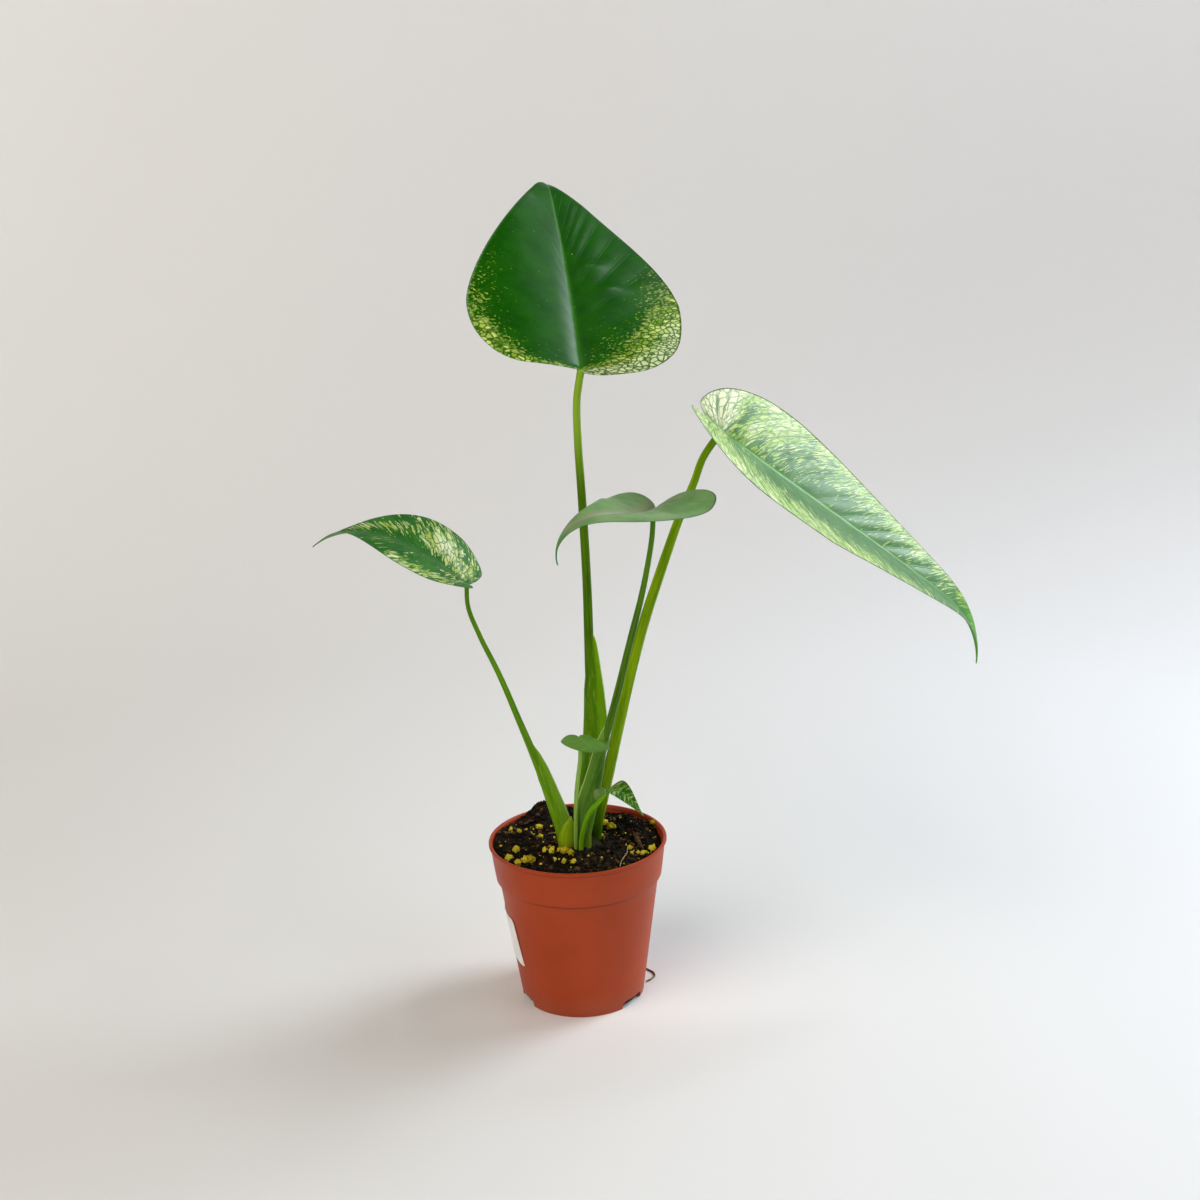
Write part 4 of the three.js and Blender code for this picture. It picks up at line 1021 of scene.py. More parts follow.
# The blades' colours and finish. cell and fleck are the sizes of cream cells and flecks in centimetres, out
# to the margin and along the blade, and shine is for the left and the right half. tip and tip_side are where
# the under side's colour takes over near the tip. LOOK holds for each blade that doesn't say otherwise.
LOOK = {
    "rib_share": 0.5, "band": 0.25, "edge_share": 0.6, "minor": 0.0, "cell_from": 0.4, "shake": 0.05,
    "clump": 0.6, "soft": 0.1, "net": 0.5, "net_width": 0.2, "whiten": 0.0, "fibre": 0.5,
    "rib_shine": 0.1, "reach": 3.2,
}
LOOKS = {
    "tall": {
        **LOOK, "green": (0.010, 0.105, 0.001), "green_deep": (0.004, 0.075, 0.0),
        "green_light": (0.020, 0.14, 0.002), "cream": (0.70, 0.84, 0.20),
        "cream_warm": (0.32, 0.52, 0.02), "white": (0.84, 0.92, 0.62), "vein": (0.012, 0.11, 0.006),
        "rib": (0.05, 0.24, 0.015), "edge": (0.05, 0.17, 0.02), "under": (0.12, 0.30, 0.06),
        "vein_share": 0.3, "edge_share": 0.5, "minor": 0.7, "cell": (0.40, 0.21), "fleck": (0.26, 0.11),
        "cell_from": 0.26, "fleck_share": 0.7, "soft": 0.07, "net": 0.05, "whiten": 0.65, "fibre": 0.3,
        "roughness": 0.31, "shine": (0.08, 0.4),
    },
    "right": {
        **LOOK, "green": (0.065, 0.23, 0.05), "green_deep": (0.04, 0.18, 0.03),
        "green_light": (0.20, 0.44, 0.08), "cream": (0.78, 0.92, 0.36), "cream_warm": (0.46, 0.72, 0.10),
        "white": (0.94, 0.98, 0.66), "vein": (0.035, 0.20, 0.035), "rib": (0.13, 0.42, 0.06),
        "edge": (0.05, 0.16, 0.03), "under": (0.12, 0.42, 0.02), "vein_share": 0.85, "rib_share": 0.9,
        "band": 0.45, "edge_share": 0.8, "minor": 0.6, "cell": (0.6, 0.26), "fleck": (0.85, 0.115),
        "cell_from": 0.45, "fleck_share": 0.9, "clump": 0.7, "soft": 0.04, "net": 0.4, "net_width": 0.13,
        "whiten": 1.0, "roughness": 0.34, "shine": (0.5, 0.45), "rib_shine": 0.15, "tip": (0.84, 0.93),
        "tip_side": (-0.6, -0.1),
    },
    # The middle blade's grey rib colour, spread wide beside the midrib, is a painted sheen.
    "middle": {
        **LOOK, "green": (0.20, 0.37, 0.12), "green_deep": (0.12, 0.28, 0.075),
        "green_light": (0.22, 0.38, 0.13), "cream": (0.6, 0.7, 0.3), "cream_warm": (0.5, 0.6, 0.2),
        "white": (0.8, 0.85, 0.6), "vein": (0.08, 0.24, 0.06), "rib": (0.27, 0.29, 0.16),
        "edge": (0.02, 0.13, 0.06), "under": (0.06, 0.26, 0.04), "vein_share": 0.4, "rib_share": 0.15,
        "band": 0.7, "edge_share": 0.8, "cell": (0.5, 0.3), "fleck": (0.2, 0.1), "cell_from": 0.5,
        "fleck_share": 0.3, "clump": 0.0, "roughness": 0.40, "shine": (0.4, 0.4), "reach": 11,
        "tip": (0.82, 0.9),
    },
    "left": {
        **LOOK, "green": (0.05, 0.22, 0.03), "green_deep": (0.02, 0.14, 0.02),
        "green_light": (0.08, 0.28, 0.05), "cream": (0.80, 0.90, 0.46), "cream_warm": (0.48, 0.62, 0.10),
        "white": (0.94, 0.98, 0.66), "vein": (0.015, 0.13, 0.03), "rib": (0.08, 0.25, 0.08),
        "edge": (0.03, 0.16, 0.06), "under": (0.2, 0.4, 0.15), "vein_share": 0.35, "rib_share": 0.4,
        "band": 0.20, "edge_share": 0.7, "minor": 0.4, "cell": (0.6, 0.24), "fleck": (0.6, 0.15),
        "fleck_share": 1.0, "shake": 0.1, "clump": 1.9, "soft": 0.045, "net": 0.2, "net_width": 0.12,
        "whiten": 0.9, "roughness": 0.40, "shine": (0.15, 0.15),
    },
    "small": {
        **LOOK, "green": (0.13, 0.28, 0.03), "green_deep": (0.10, 0.26, 0.03),
        "green_light": (0.20, 0.40, 0.05), "cream": (0.4, 0.6, 0.15), "cream_warm": (0.3, 0.5, 0.1),
        "white": (0.6, 0.7, 0.3), "vein": (0.12, 0.30, 0.06), "rib": (0.16, 0.38, 0.06),
        "edge": (0.20, 0.36, 0.10), "under": (0.2, 0.4, 0.12), "vein_share": 0.25, "cell": (0.3, 0.14),
        "fleck": (0.15, 0.08), "fleck_share": 0.5, "clump": 0.2, "fibre": 0.4, "roughness": 0.46,
        "shine": (0.3, 0.3),
    },
    "baby": {
        **LOOK, "green": (0.03, 0.16, 0.008), "green_deep": (0.015, 0.11, 0.006),
        "green_light": (0.10, 0.30, 0.015), "cream": (0.62, 0.74, 0.28), "cream_warm": (0.45, 0.62, 0.10),
        "white": (0.8, 0.85, 0.5), "vein": (0.05, 0.2, 0.03), "rib": (0.2, 0.45, 0.06),
        "edge": (0.02, 0.1, 0.02), "under": (0.25, 0.42, 0.12), "vein_share": 0.3, "minor": 0.3,
        "cell": (0.3, 0.16), "fleck": (0.4, 0.14), "fleck_share": 0.8, "shake": 0.03, "soft": 0.05,
        "net": 0.2, "whiten": 0.3, "fibre": 0.4, "roughness": 0.38, "shine": (0.1, 0.2),
    },
}


def stalk_finish(name):
    """A stalk or sheath: streaked along its length, browned at the soil, paler along its free edge; the tall
    stalk's lighter top is painted light and the right stalk's dark foot is painted shadow.
    """
    look = STALK_LOOKS[name]
    f = Finish("stalk_" + name)
    place, _ = f.field("stalk")
    run, _, wing = f.parts(place)
    streaks = f.noise(f.scaled(place, 0.25, 9.0, 0.0), 1.0, 3.0)
    fine = f.noise(f.scaled(place, 0.9, 26.0, 0.0), 1.0, 2.0)
    colour = f.mix(f.step(streaks, 0.35, 0.65), look["dark"], look["light"])
    colour = f.mix(f.step(fine, 0.5, 0.8, 0.0, 0.3), colour, look["pale"])
    colour = f.mix(f.step(wing, 0.3, 1.0, 0.0, 0.75), colour, look["wing"])
    colour = f.mix(f.step(wing, 1.2, 1.9, 0.0, 0.8), colour, look["pale"])
    # The top's colour; on the tall stalk it is painted light, the top lit more strongly than the stalk below.
    if "top" in look:
        colour = f.mix(f.step(run, *look["rise"], 0.0, 0.8), colour, look["top"])
    # The foot's colour: browning at the soil, and on the right stalk a painted shadow.
    colour = f.mix(f.step(run, *look["foot"], 0.85, 0.0), colour, look["foot_colour"])
    gloss = f.math("ADD", 0.36, f.times(streaks, 0.12))
    f.set(Base_Color=colour, Roughness=gloss, Specular_IOR_Level=0.08)
    height = f.math("ADD", streaks, f.times(fine, 0.5))
    return f.bump(height, 0.0002, 0.5).material


# The stalks' and sheaths' colours. foot and rise are where along the stalk, in centimetres, the colour of the
# foot ends and the colour of the top sets in.
STALK_LOOKS = {
    # The tall stalk's lighter top is painted light.
    "tall": {
        "dark": (0.040, 0.115, 0.0), "light": (0.085, 0.19, 0.0), "pale": (0.14, 0.26, 0.01),
        "wing": (0.10, 0.24, 0.0), "foot": (0.2, 2.2), "foot_colour": (0.16, 0.18, 0.01),
        "rise": (24, 30), "top": (0.32, 0.53, 0.04),
    },
    # The right stalk's dark foot is painted shadow.
    "right": {
        "dark": (0.12, 0.25, 0.0), "light": (0.24, 0.39, 0.0), "pale": (0.34, 0.45, 0.01),
        "wing": (0.17, 0.34, 0.01), "foot": (0.6, 4.5), "foot_colour": (0.03, 0.09, 0.004),
        "rise": (25, 32), "top": (0.07, 0.18, 0.002),
    },
    "middle": {
        "dark": (0.035, 0.11, 0.004), "light": (0.085, 0.19, 0.006), "pale": (0.16, 0.30, 0.03),
        "wing": (0.06, 0.2, 0.02), "foot": (0.2, 2.2), "foot_colour": (0.14, 0.2, 0.02), "rise": (16, 23),
        "top": (0.10, 0.25, 0.01),
    },
    "left": {
        "dark": (0.07, 0.21, 0.002), "light": (0.14, 0.31, 0.004), "pale": (0.24, 0.42, 0.04),
        "wing": (0.13, 0.30, 0.01), "foot": (0.2, 2.0), "foot_colour": (0.20, 0.24, 0.02),
    },
    "small": {
        "dark": (0.20, 0.40, 0.04), "light": (0.36, 0.56, 0.12), "pale": (0.42, 0.62, 0.2),
        "wing": (0.3, 0.52, 0.1), "foot": (0.2, 1.6), "foot_colour": (0.16, 0.24, 0.03),
    },
    "baby": {
        "dark": (0.10, 0.30, 0.004), "light": (0.21, 0.46, 0.008), "pale": (0.38, 0.60, 0.06),
        "wing": (0.25, 0.48, 0.02), "foot": (0.2, 1.0), "foot_colour": (0.22, 0.34, 0.03),
    },
    "sheath_tall": {
        "dark": (0.05, 0.15, 0.0), "light": (0.10, 0.23, 0.0), "pale": (0.52, 0.72, 0.12),
        "wing": (0.19, 0.40, 0.0), "foot": (0.2, 2.2), "foot_colour": (0.12, 0.15, 0.01),
    },
    "sheath_left": {
        "dark": (0.10, 0.26, 0.0), "light": (0.19, 0.38, 0.004), "pale": (0.50, 0.62, 0.24),
        "wing": (0.22, 0.42, 0.02), "foot": (0.6, 3.0), "foot_colour": (0.24, 0.28, 0.02),
    },
    "sheath_middle": {
        "dark": (0.07, 0.19, 0.015), "light": (0.13, 0.28, 0.03), "pale": (0.52, 0.70, 0.16),
        "wing": (0.15, 0.33, 0.04), "foot": (0.4, 3.4), "foot_colour": (0.15, 0.22, 0.01),
    },
    "sheath_scale": {
        "dark": (0.17, 0.33, 0.0), "light": (0.28, 0.44, 0.006), "pale": (0.42, 0.52, 0.10),
        "wing": (0.24, 0.36, 0.01), "foot": (0.8, 1.7), "foot_colour": (0.22, 0.16, 0.012),
    },
}


def plastic_finish(colour, roughness):
    """The pot's moulded plastic: faint flow marks, scuffs, dust that lightens it in patches, and painted
    shadow lines under the ledge and the lip.
    """
    f = Finish("pot_plastic")
    place = f.place()
    flow = f.noise(f.scaled(place, 60, 60, 9), 1.0, 3.0)
    cloud = f.noise(f.scaled(place, 22, 22, 22), 1.0, 4.0)
    speck = f.noise(f.scaled(place, 1400, 1400, 1400), 1.0, 2.0)
    dark = tuple(c * 0.92 for c in colour)
    light = tuple(min(1.0, c * 1.08 + 0.004) for c in colour)
    tone = f.mix(f.step(cloud, 0.2, 0.8), dark, light)
    tone = f.mix(f.step(flow, 0.45, 0.7, 0.0, 0.35), tone, light)
    tone = f.mix(f.step(speck, 0.68, 0.8, 0.0, 0.25), tone, (0.45, 0.2, 0.12))
    height = f.parts(place)[2]
    # Painted shadow: dark lines in the corners under the ledge and the lip.
    ledge, lip = POT["ledge"] * MM, (POT["height"] - POT["lip_height"]) * MM
    painted_ledge_shadow = f.step(height, ledge - 0.0018, ledge - 0.0006, 0.0, 0.9)
    painted_ledge_shadow = f.times(painted_ledge_shadow, f.step(height, ledge - 0.0001, ledge + 0.0004, 1.0, 0.0))
    painted_lip_shadow = f.step(height, lip - 0.0011, lip - 0.0003, 0.0, 0.55)
    painted_lip_shadow = f.times(painted_lip_shadow, f.step(height, lip, lip + 0.0003, 1.0, 0.0))
    tone = f.mix(f.math("MAXIMUM", painted_ledge_shadow, painted_lip_shadow), tone, (0.07, 0.012, 0.005))
    dust = f.times(f.step(height, 0.0, 0.02, 0.4, 0.0), cloud)
    tone = f.mix(dust, tone, (0.30, 0.13, 0.08))
    gloss = f.math("ADD", roughness, f.times(cloud, 0.16))
    f.set(Base_Color=tone, Roughness=gloss, Specular_IOR_Level=0.22)
    grain = f.math("ADD", f.times(speck, 0.5), flow)
    return f.bump(grain, 0.00012, 0.5).material


def paper_finish(colour):
    """The blank label: coated paper with faint creases."""
    f = Finish("label_paper")
    place = f.place()
    crease = f.noise(f.scaled(place, 90, 90, 30), 1.0, 4.0)
    tone = f.mix(f.step(crease, 0.3, 0.75), colour, tuple(c * 0.9 for c in colour))
    f.set(Base_Color=tone, Roughness=f.math("ADD", 0.42, f.times(crease, 0.2)))
    return f.bump(crease, 0.0002, 0.4).material


def soil_finish():
    """Damp potting mix: near black, with brown and rusty crumbs."""
    f = Finish("potting_mix")
    place = f.place()
    _, shade = f.field("shade")
    grain = f.noise(place, 900.0, 4.0)
    patch = f.noise(place, 160.0, 3.0)
    tone = f.mix(f.step(grain, 0.35, 0.7), (0.0008, 0.0007, 0.0006), (0.017, 0.011, 0.004))
    tone = f.mix(f.step(patch, 0.52, 0.7, 0.0, 0.7), tone, (0.045, 0.022, 0.009))
    tone = f.mix(f.step(shade, 0.78, 0.98, 0.0, 0.8), tone, (0.11, 0.055, 0.022))
    f.set(Base_Color=tone, Roughness=f.math("ADD", 0.6, f.times(grain, 0.35)), Specular_IOR_Level=0.1)
    return f.bump(grain, 0.0006, 0.8).material


def perlite_finish():
    """Perlite stained yellow by the damp mix, with painted shade in its pits."""
    f = Finish("perlite")
    place = f.place()
    _, shade = f.field("shade")
    shaded_pits = f.noise(place, 1100.0, 4.0)
    tone = f.mix(shade, (0.42, 0.30, 0.003), (0.86, 0.70, 0.05))
    # Painted shade darkens the pits.
    tone = f.mix(f.step(shaded_pits, 0.35, 0.5, 0.75, 0.0), tone, (0.16, 0.12, 0.02))
    f.set(Base_Color=tone, Roughness=0.75, Specular_IOR_Level=0.1)
    return f.bump(shaded_pits, 0.0007, 0.9).material


def fibre_finish(name, dark, light):
    """Bark, dry fibres, the crown and the root: streaked with two tones."""
    f = Finish(name)
    place = f.place()
    streak = f.noise(place, 700.0, 4.0)
    tone = f.mix(f.step(streak, 0.35, 0.65), dark, light)
    f.set(Base_Color=tone, Roughness=f.math("ADD", 0.55, f.times(streak, 0.3)), Specular_IOR_Level=0.05)
    return f.bump(streak, 0.0003, 0.7).material


# Settings


class StageSettings(PropertyGroup):
    """Floor and lights."""

    # Both colours are painted light: the warm shade at the left and the cooler, lighter light at the right.
    left_shade_colour: FloatVectorProperty(
        name="Floor colour", description="Colour of the floor and backdrop at the left", subtype="COLOR",
        default=(0.82, 0.785, 0.74), min=0, max=1,
    )
    right_light_colour: FloatVectorProperty(
        name="Colour at the right", description="Colour of the floor and backdrop at the right",
        subtype="COLOR", default=(0.96, 0.97, 0.99), min=0, max=1,
    )
    key_power: FloatProperty(
        name="Key power", description="Power of the light behind at the right", default=78, unit="POWER"
    )
    fill_power: FloatProperty(
        name="Fill power", description="Power of the light in front at the left", default=66, unit="POWER"
    )
    side_power: FloatProperty(
        name="Side power", description="Power of the light in front at the right", default=18, unit="POWER"
    )
    top_power: FloatProperty(
        name="Top power", description="Power of the small light overhead", default=4, unit="POWER"
    )
    sky_low: FloatProperty(
        name="Low sky", description="Strength of the light from the horizon", default=1.0, min=0
    )
    sky_high: FloatProperty(
        name="High sky", description="Strength of the light from overhead", default=0.1, min=0
    )


class PotSettings(PropertyGroup):
    """Pot and label."""

    colour: FloatVectorProperty(
        name="Plastic colour", description="Colour of the pot", subtype="COLOR",
        default=(0.41, 0.049, 0.006), min=0, max=1,
    )
    roughness: FloatProperty(
        name="Roughness", description="How dull the plastic is", subtype="FACTOR", default=0.36, min=0, max=1
    )
    label_colour: FloatVectorProperty(
        name="Label colour", description="Colour of the blank label", subtype="COLOR",
        default=(0.98, 0.97, 0.95), min=0, max=1,
    )
    sides: IntProperty(name="Sides", description="Points round the pot", default=192, min=48)


class SoilSettings(PropertyGroup):
    """Potting mix and what lies in it."""

    crumbs: IntProperty(name="Crumbs", description="Number of loose crumbs", default=2400, min=0)
    crumb_size: FloatProperty(
        name="Crumb size", description="Half width of the largest crumbs", unit="LENGTH", default=0.0021
    )
    loose_perlite: IntProperty(
        name="Loose perlite", description="Perlite grains that the photograph doesn't show", default=26, min=0
    )
    specks: IntProperty(name="Specks", description="Small bits of perlite", default=170, min=0)
    bark: IntProperty(name="Bark", description="Loose bark sticks", default=14, min=0)
    fibres: IntProperty(name="Fibres", description="Dry fibres on the mix", default=26, min=0)
    seed: IntProperty(name="Seed", description="Seed of the random draws", default=12)


class PlantSettings(PropertyGroup):
    """Leaves and stalks."""

    thickness: FloatProperty(
        name="Blade thickness", description="Thickness of the blades", unit="LENGTH", default=0.0006
    )
    relief: FloatProperty(
        name="Relief", description="How far the blades swell between their veins", default=1.0, min=0
    )
    stalk_sides: IntProperty(name="Stalk sides", description="Points round each stalk", default=40, min=12)


def settings(name):
    """The settings of one group, as they stand in the scene."""
    return getattr(bpy.context.scene, "monstera_" + name)


# Stage


def sky(low, high):
    """Even light all round that is dimmer overhead, where the glossy leaves mirror it."""
    world = bpy.data.worlds.new("studio")
    world.use_nodes = True
    tree = world.node_tree
    way = tree.nodes.new("ShaderNodeTexCoord")
    parts = tree.nodes.new("ShaderNodeSeparateXYZ")
    level = tree.nodes.new("ShaderNodeMapRange")
    level.inputs["To Min"].default_value, level.inputs["To Max"].default_value = low, high
    tree.links.new(way.outputs["Generated"], parts.inputs[0])
    tree.links.new(parts.outputs["Z"], level.inputs["Value"])
    tree.links.new(level.outputs[0], tree.nodes["Background"].inputs["Strength"])
    return world


def lamp(name, place, size, colour, power):
    """A round soft light that points at the plant."""
    data = bpy.data.lights.new(name, "AREA")
    data.shape, data.size, data.energy, data.color = "DISK", size, power, colour
    made = bpy.data.objects.new(name, data)
    bpy.context.scene.collection.objects.link(made)
    made.location = place
    made.rotation_euler = (Vector(LIT_POINT) - Vector(place)).to_track_quat("-Z", "Y").to_euler()


def floor_mesh():
    """A round floor that turns up into a wall behind the plant and stays flat on the camera's side."""
    flat, cove, wall, wide = (FLOOR[k] for k in ("flat", "cove", "wall", "wide"))
    middle = [(60, 0), (400, 0)]
    bend = [(flat + cove * math.sin(a), cove * (1 - math.cos(a))) for a in np.linspace(0, math.pi / 2, 24)]
    spread = [(r + (wide - flat) * z / wall, 0) for r, z in bend]
    rings = turned([*middle, *bend, (flat + cove, wall)], FLOOR_SIDES)
    level = turned([*middle, *spread, (wide, 0)], FLOOR_SIDES)
    angle = np.degrees(around(FLOOR_SIDES))
    behind = smooth(np.abs((angle - 90 + 180) % 360 - 180), 80, 50)[None, :, None]
    points, faces = loft(level + (rings - level) * behind, ends=(0,))
    return mesh_object("studio_floor", points, [f[::-1] for f in faces])


def floor_finish(left, right):
    """The backdrop's matt paper, with painted light: warmer and darker at the left, cooler and lighter at the
    right.
    """
    f = Finish("studio_floor")
    cloud = f.noise(f.place(), 1.3, 3.0)
    # Painted light: the tone runs from the warm shade at the left to the cooler, lighter colour at the right.
    tone = f.mix(f.step(f.parts(f.place())[0], -0.7, 0.9), left, right)
    tone = f.mix(f.times(cloud, 0.1), tone, (0.75, 0.75, 0.75))
    return f.set(Base_Color=tone, Roughness=0.75, Specular_IOR_Level=0.25).material


# Stalk shapes


def stalk_shape(name, stalk, sides):
    """A leaf stalk with its own width and depth at each point, a groove and, low down, a narrowed wing."""
    _, _, up = midrib(LEAVES[name], np.array([0.0]))
    line = [p[:3] for p in stalk["points"]] + [tuple(np.array(LEAVES[name]["at"]) - up[0] * 0.5)]
    places, ways = curve_points(line, STALK_STEPS)
    share = np.linspace(0, len(line) - 1, len(places))
    sizes = [p[3:] for p in stalk["points"]]
    sizes.append(sizes[-1])
    width, depth = (np.interp(share, np.arange(len(line)), [s[k] for s in sizes]) for k in (0, 1))
    facing = np.array(stalk["channel"], float)
    front = unit(facing - ways * (ways @ facing)[:, None])
    across = np.cross(ways, front)
    angle = around(sides)
    c, s = np.cos(angle)[None, :], np.sin(angle)[None, :]
    flap = np.clip(np.maximum(depth / width, width / depth * 0.9) - 1.05, 0, 0.9)[:, None]
    narrow = 1 - 0.75 * flap * np.clip(s, 0, 1) ** 1.3
    groove = 0.16 * depth[:, None] * np.clip(1 - places[:, 2:] / 250, 0, 1) * (width[:, None] > 4)
    dip = np.where(s > 0, groove * gauss(c, 0.22), 0)
    ridges = 0.05 * np.sin(9 * angle + 0.6)[None, :] * smooth(width, 2.5, 5)[:, None]
    forth = (depth[:, None] / 2 + ridges) * s - dip
    aside = -(width[:, None] / 2 + ridges) * c * narrow
    rings = places[:, None] + forth[..., None] * front[:, None] + aside[..., None] * across[:, None]
    run = np.concatenate([[0], np.cumsum(np.linalg.norm(np.diff(places, axis=0), axis=1))]) / 10
    wing = (flap / 0.5) * (smooth(s, 0.1, 0.9) + gauss(c, 0.3) * (s > 0))
    return with_field(rings, run[:, None], angle, wing)


def sheath_shape(sheath, sides):
    """A sheath that hugs a stalk, ribbed along its length, with a pale free edge on its open side."""
    rows = np.array(sheath["rows"], float)
    count = np.arange(len(rows))
    reach = np.arange(SHEATH_STEPS * (len(rows) - 1) + 1) / SHEATH_STEPS
    left, right, y, z, depth = (np.interp(reach, count, rows[:, k])[:, None] for k in range(5))
    angle = around(sides)
    c, s = np.cos(angle)[None, :], np.sin(angle)[None, :]
    ribs = 0.07 * np.sin(11 * angle)[None, :] * smooth(right - left, 3, 8)
    x = (left + right) / 2 + ((right - left) / 2 + ribs) * c
    rings = np.stack([x, y + (depth / 2 + ribs) * s, z + 0 * c], -1)
    open_side = c * sheath["free"]
    wing = smooth(open_side, -0.4, 0.8) + smooth(open_side, 0.86, 0.97) + 1 - smooth(np.max(z) - z, 0, 5)
    return with_field(rings[::-1], (z[::-1] - SHEATH_FOOT) / 10, angle, wing[::-1])


def with_field(rings, run, angle, wing):
    """A skin over rings with its field: the way along in centimetres, the share of the turn and the wing."""
    points, faces = loft(rings)
    field = np.stack([run + 0 * wing, angle[None, :] / TURN + 0 * wing, wing], -1)
    return points, faces, {"stalk": np.concatenate([field.reshape(-1, 3), field[[0, -1], 0]])}


# Pieces


class PLANT_OT_camera(Operator):
    """Stands the camera where the photograph was taken from"""

    bl_idname = "plant.camera"
    bl_label = "Camera"
    bl_options = {"REGISTER", "UNDO"}

    def execute(self, context):
        data = bpy.data.cameras.new("camera")
        data.sensor_width = 36
        data.lens = CAMERA["focal"] / CAMERA["frame"] * data.sensor_width
        data.clip_start, data.clip_end = 0.05, 30
        camera = bpy.data.objects.new("camera", data)
        context.scene.collection.objects.link(camera)
        tilt = Matrix.Rotation(math.radians(90 - CAMERA["down"]), 4, "X")
        lean = Matrix.Rotation(math.radians(-CAMERA["lean"]), 4, "Z")
        camera.matrix_world = Matrix.Translation(Vector(CAMERA["place"]) * MM) @ tilt @ lean
        context.scene.camera = camera
        return {"FINISHED"}


class PLANT_OT_stage(Operator):
    """Makes the plain floor that sweeps up into a backdrop, and the soft studio light"""

    bl_idname = "plant.stage"
    bl_label = "Stage"
    bl_options = {"REGISTER", "UNDO"}

    def execute(self, context):
        look = settings("stage")
        floor = floor_mesh()
        floor.data.materials.append(floor_finish(tuple(look.left_shade_colour), tuple(look.right_light_colour)))
        for name, light in LIGHTS.items():
            lamp(name + "_light", *light, getattr(look, name + "_power"))
        context.scene.world = sky(look.sky_low, look.sky_high)
        context.scene.view_settings.view_transform = "Standard"
        return {"FINISHED"}


class PLANT_OT_pot(Operator):
    """Turns the plastic pot with its collar, lip and foot notches"""

    bl_idname = "plant.pot"
    bl_label = "Pot"
    bl_options = {"REGISTER", "UNDO"}

    def execute(self, context):
        look = settings("pot")
        pot = mesh_object("terracotta_pot", *loft(turned(pot_outline(), look.sides)))
        wedges = [notch_wedge(math.radians(angle - 90)) for angle in NOTCH["angles"]]
        for wedge in wedges:
            cut = pot.modifiers.new("notch", "BOOLEAN")
            cut.operation, cut.solver, cut.object = "DIFFERENCE", "EXACT", wedge
        shape = bpy.data.meshes.new_from_object(pot.evaluated_get(context.evaluated_depsgraph_get()))
        pot.modifiers.clear()
        pot.data = shape
        for wedge in wedges:
            bpy.data.objects.remove(wedge)
        shape.polygons.foreach_set("use_smooth", [True] * len(shape.polygons))
        shape.set_sharp_from_angle(angle=SHARP)
        shape.materials.clear()
        finish_piece(pot, "pot_plastic", plastic_finish(tuple(look.colour), look.roughness), replaces="pot")
        return {"FINISHED"}


class PLANT_OT_label(Operator):
    """Lays the blank label round the left of the pot"""

    bl_idname = "plant.label"
    bl_label = "Label"
    bl_options = {"REGISTER", "UNDO"}

    def execute(self, context):
        label = mesh_object("blank_label", *label_sheet())
        label.data.set_sharp_from_angle(angle=SHARP)
        paper = paper_finish(tuple(settings("pot").label_colour))
        finish_piece(label, "label_paper", paper, replaces="label")
        return {"FINISHED"}


class PLANT_OT_soil(Operator):
    """Fills the pot with crumbly potting mix"""

    bl_idname = "plant.soil"
    bl_label = "Soil"
    bl_options = {"REGISTER", "UNDO"}

    def execute(self, context):
        look = settings("soil")
        dirt = soil_finish()
        edge = collar_radius(SOIL["level"]) - SOIL["edge_gap"]
        self.fill(edge, dirt)
        draw = random.Random(look.seed)
        rough, coarse = ball(1), ball(0)
        least, most = CRUMBS["least"], look.crumb_size / MM
        crumbs, shades = [], []
        for _ in range(look.crumbs):
            x, y = spot((edge - CRUMBS["edge"]) * math.sqrt(draw.random()), draw)
            size = least + (most - least) * draw.random() ** 3.2
            from_crown = math.hypot((x - CROWN["x"]) / CROWN["stretch"], y - CROWN["y"])
            if from_crown < CRUMBS["clear"] + size:
                continue
            shape = rough if size > CRUMBS["rough_from"] else coarse
            points, faces = lump(shape, draw, size, flat=0.7, knob=0.9)
            crumbs.append((points + (x, y, crumbled(x, y) + CRUMBS["stands_out"] * size), faces))
            shades.append(draw.random())
        finish_bits("soil_crumbs", crumbs, dirt, shades)
        return {"FINISHED"}

    def fill(self, edge, dirt):
        """The mix itself, from the pot's floor up to its crumbled surface."""
        floor, ledge, gap, sides = POT["floor"] + 0.3, POT["ledge"], SOIL["gap"], SOIL["sides"]
        buried = [(body_radius(z) - POT["wall"] - gap, z + lift) for z, lift in ((floor, 0), (ledge, 0.3))]
        buried.append((collar_radius(ledge + 2) - gap, ledge + 2.3))
        rings = list(turned(buried, sides))
        for r in range(SOIL["rings"], 0, -1):
            radius = edge * r / SOIL["rings"]
            ring = [(radius * math.cos(a), radius * math.sin(a)) for a in around(sides)]
            rings.append([(x, y, crumbled(x, y)) for x, y in ring])
        points, faces = loft(rings)
        shade = [0.5 * noise.noise(Vector(p) * 0.3) + 0.4 for p in points]
        soil = mesh_object("potting_mix", points, faces, fields={"shade": shade})
        finish_piece(soil, "potting_mix", dirt, replaces="soil")


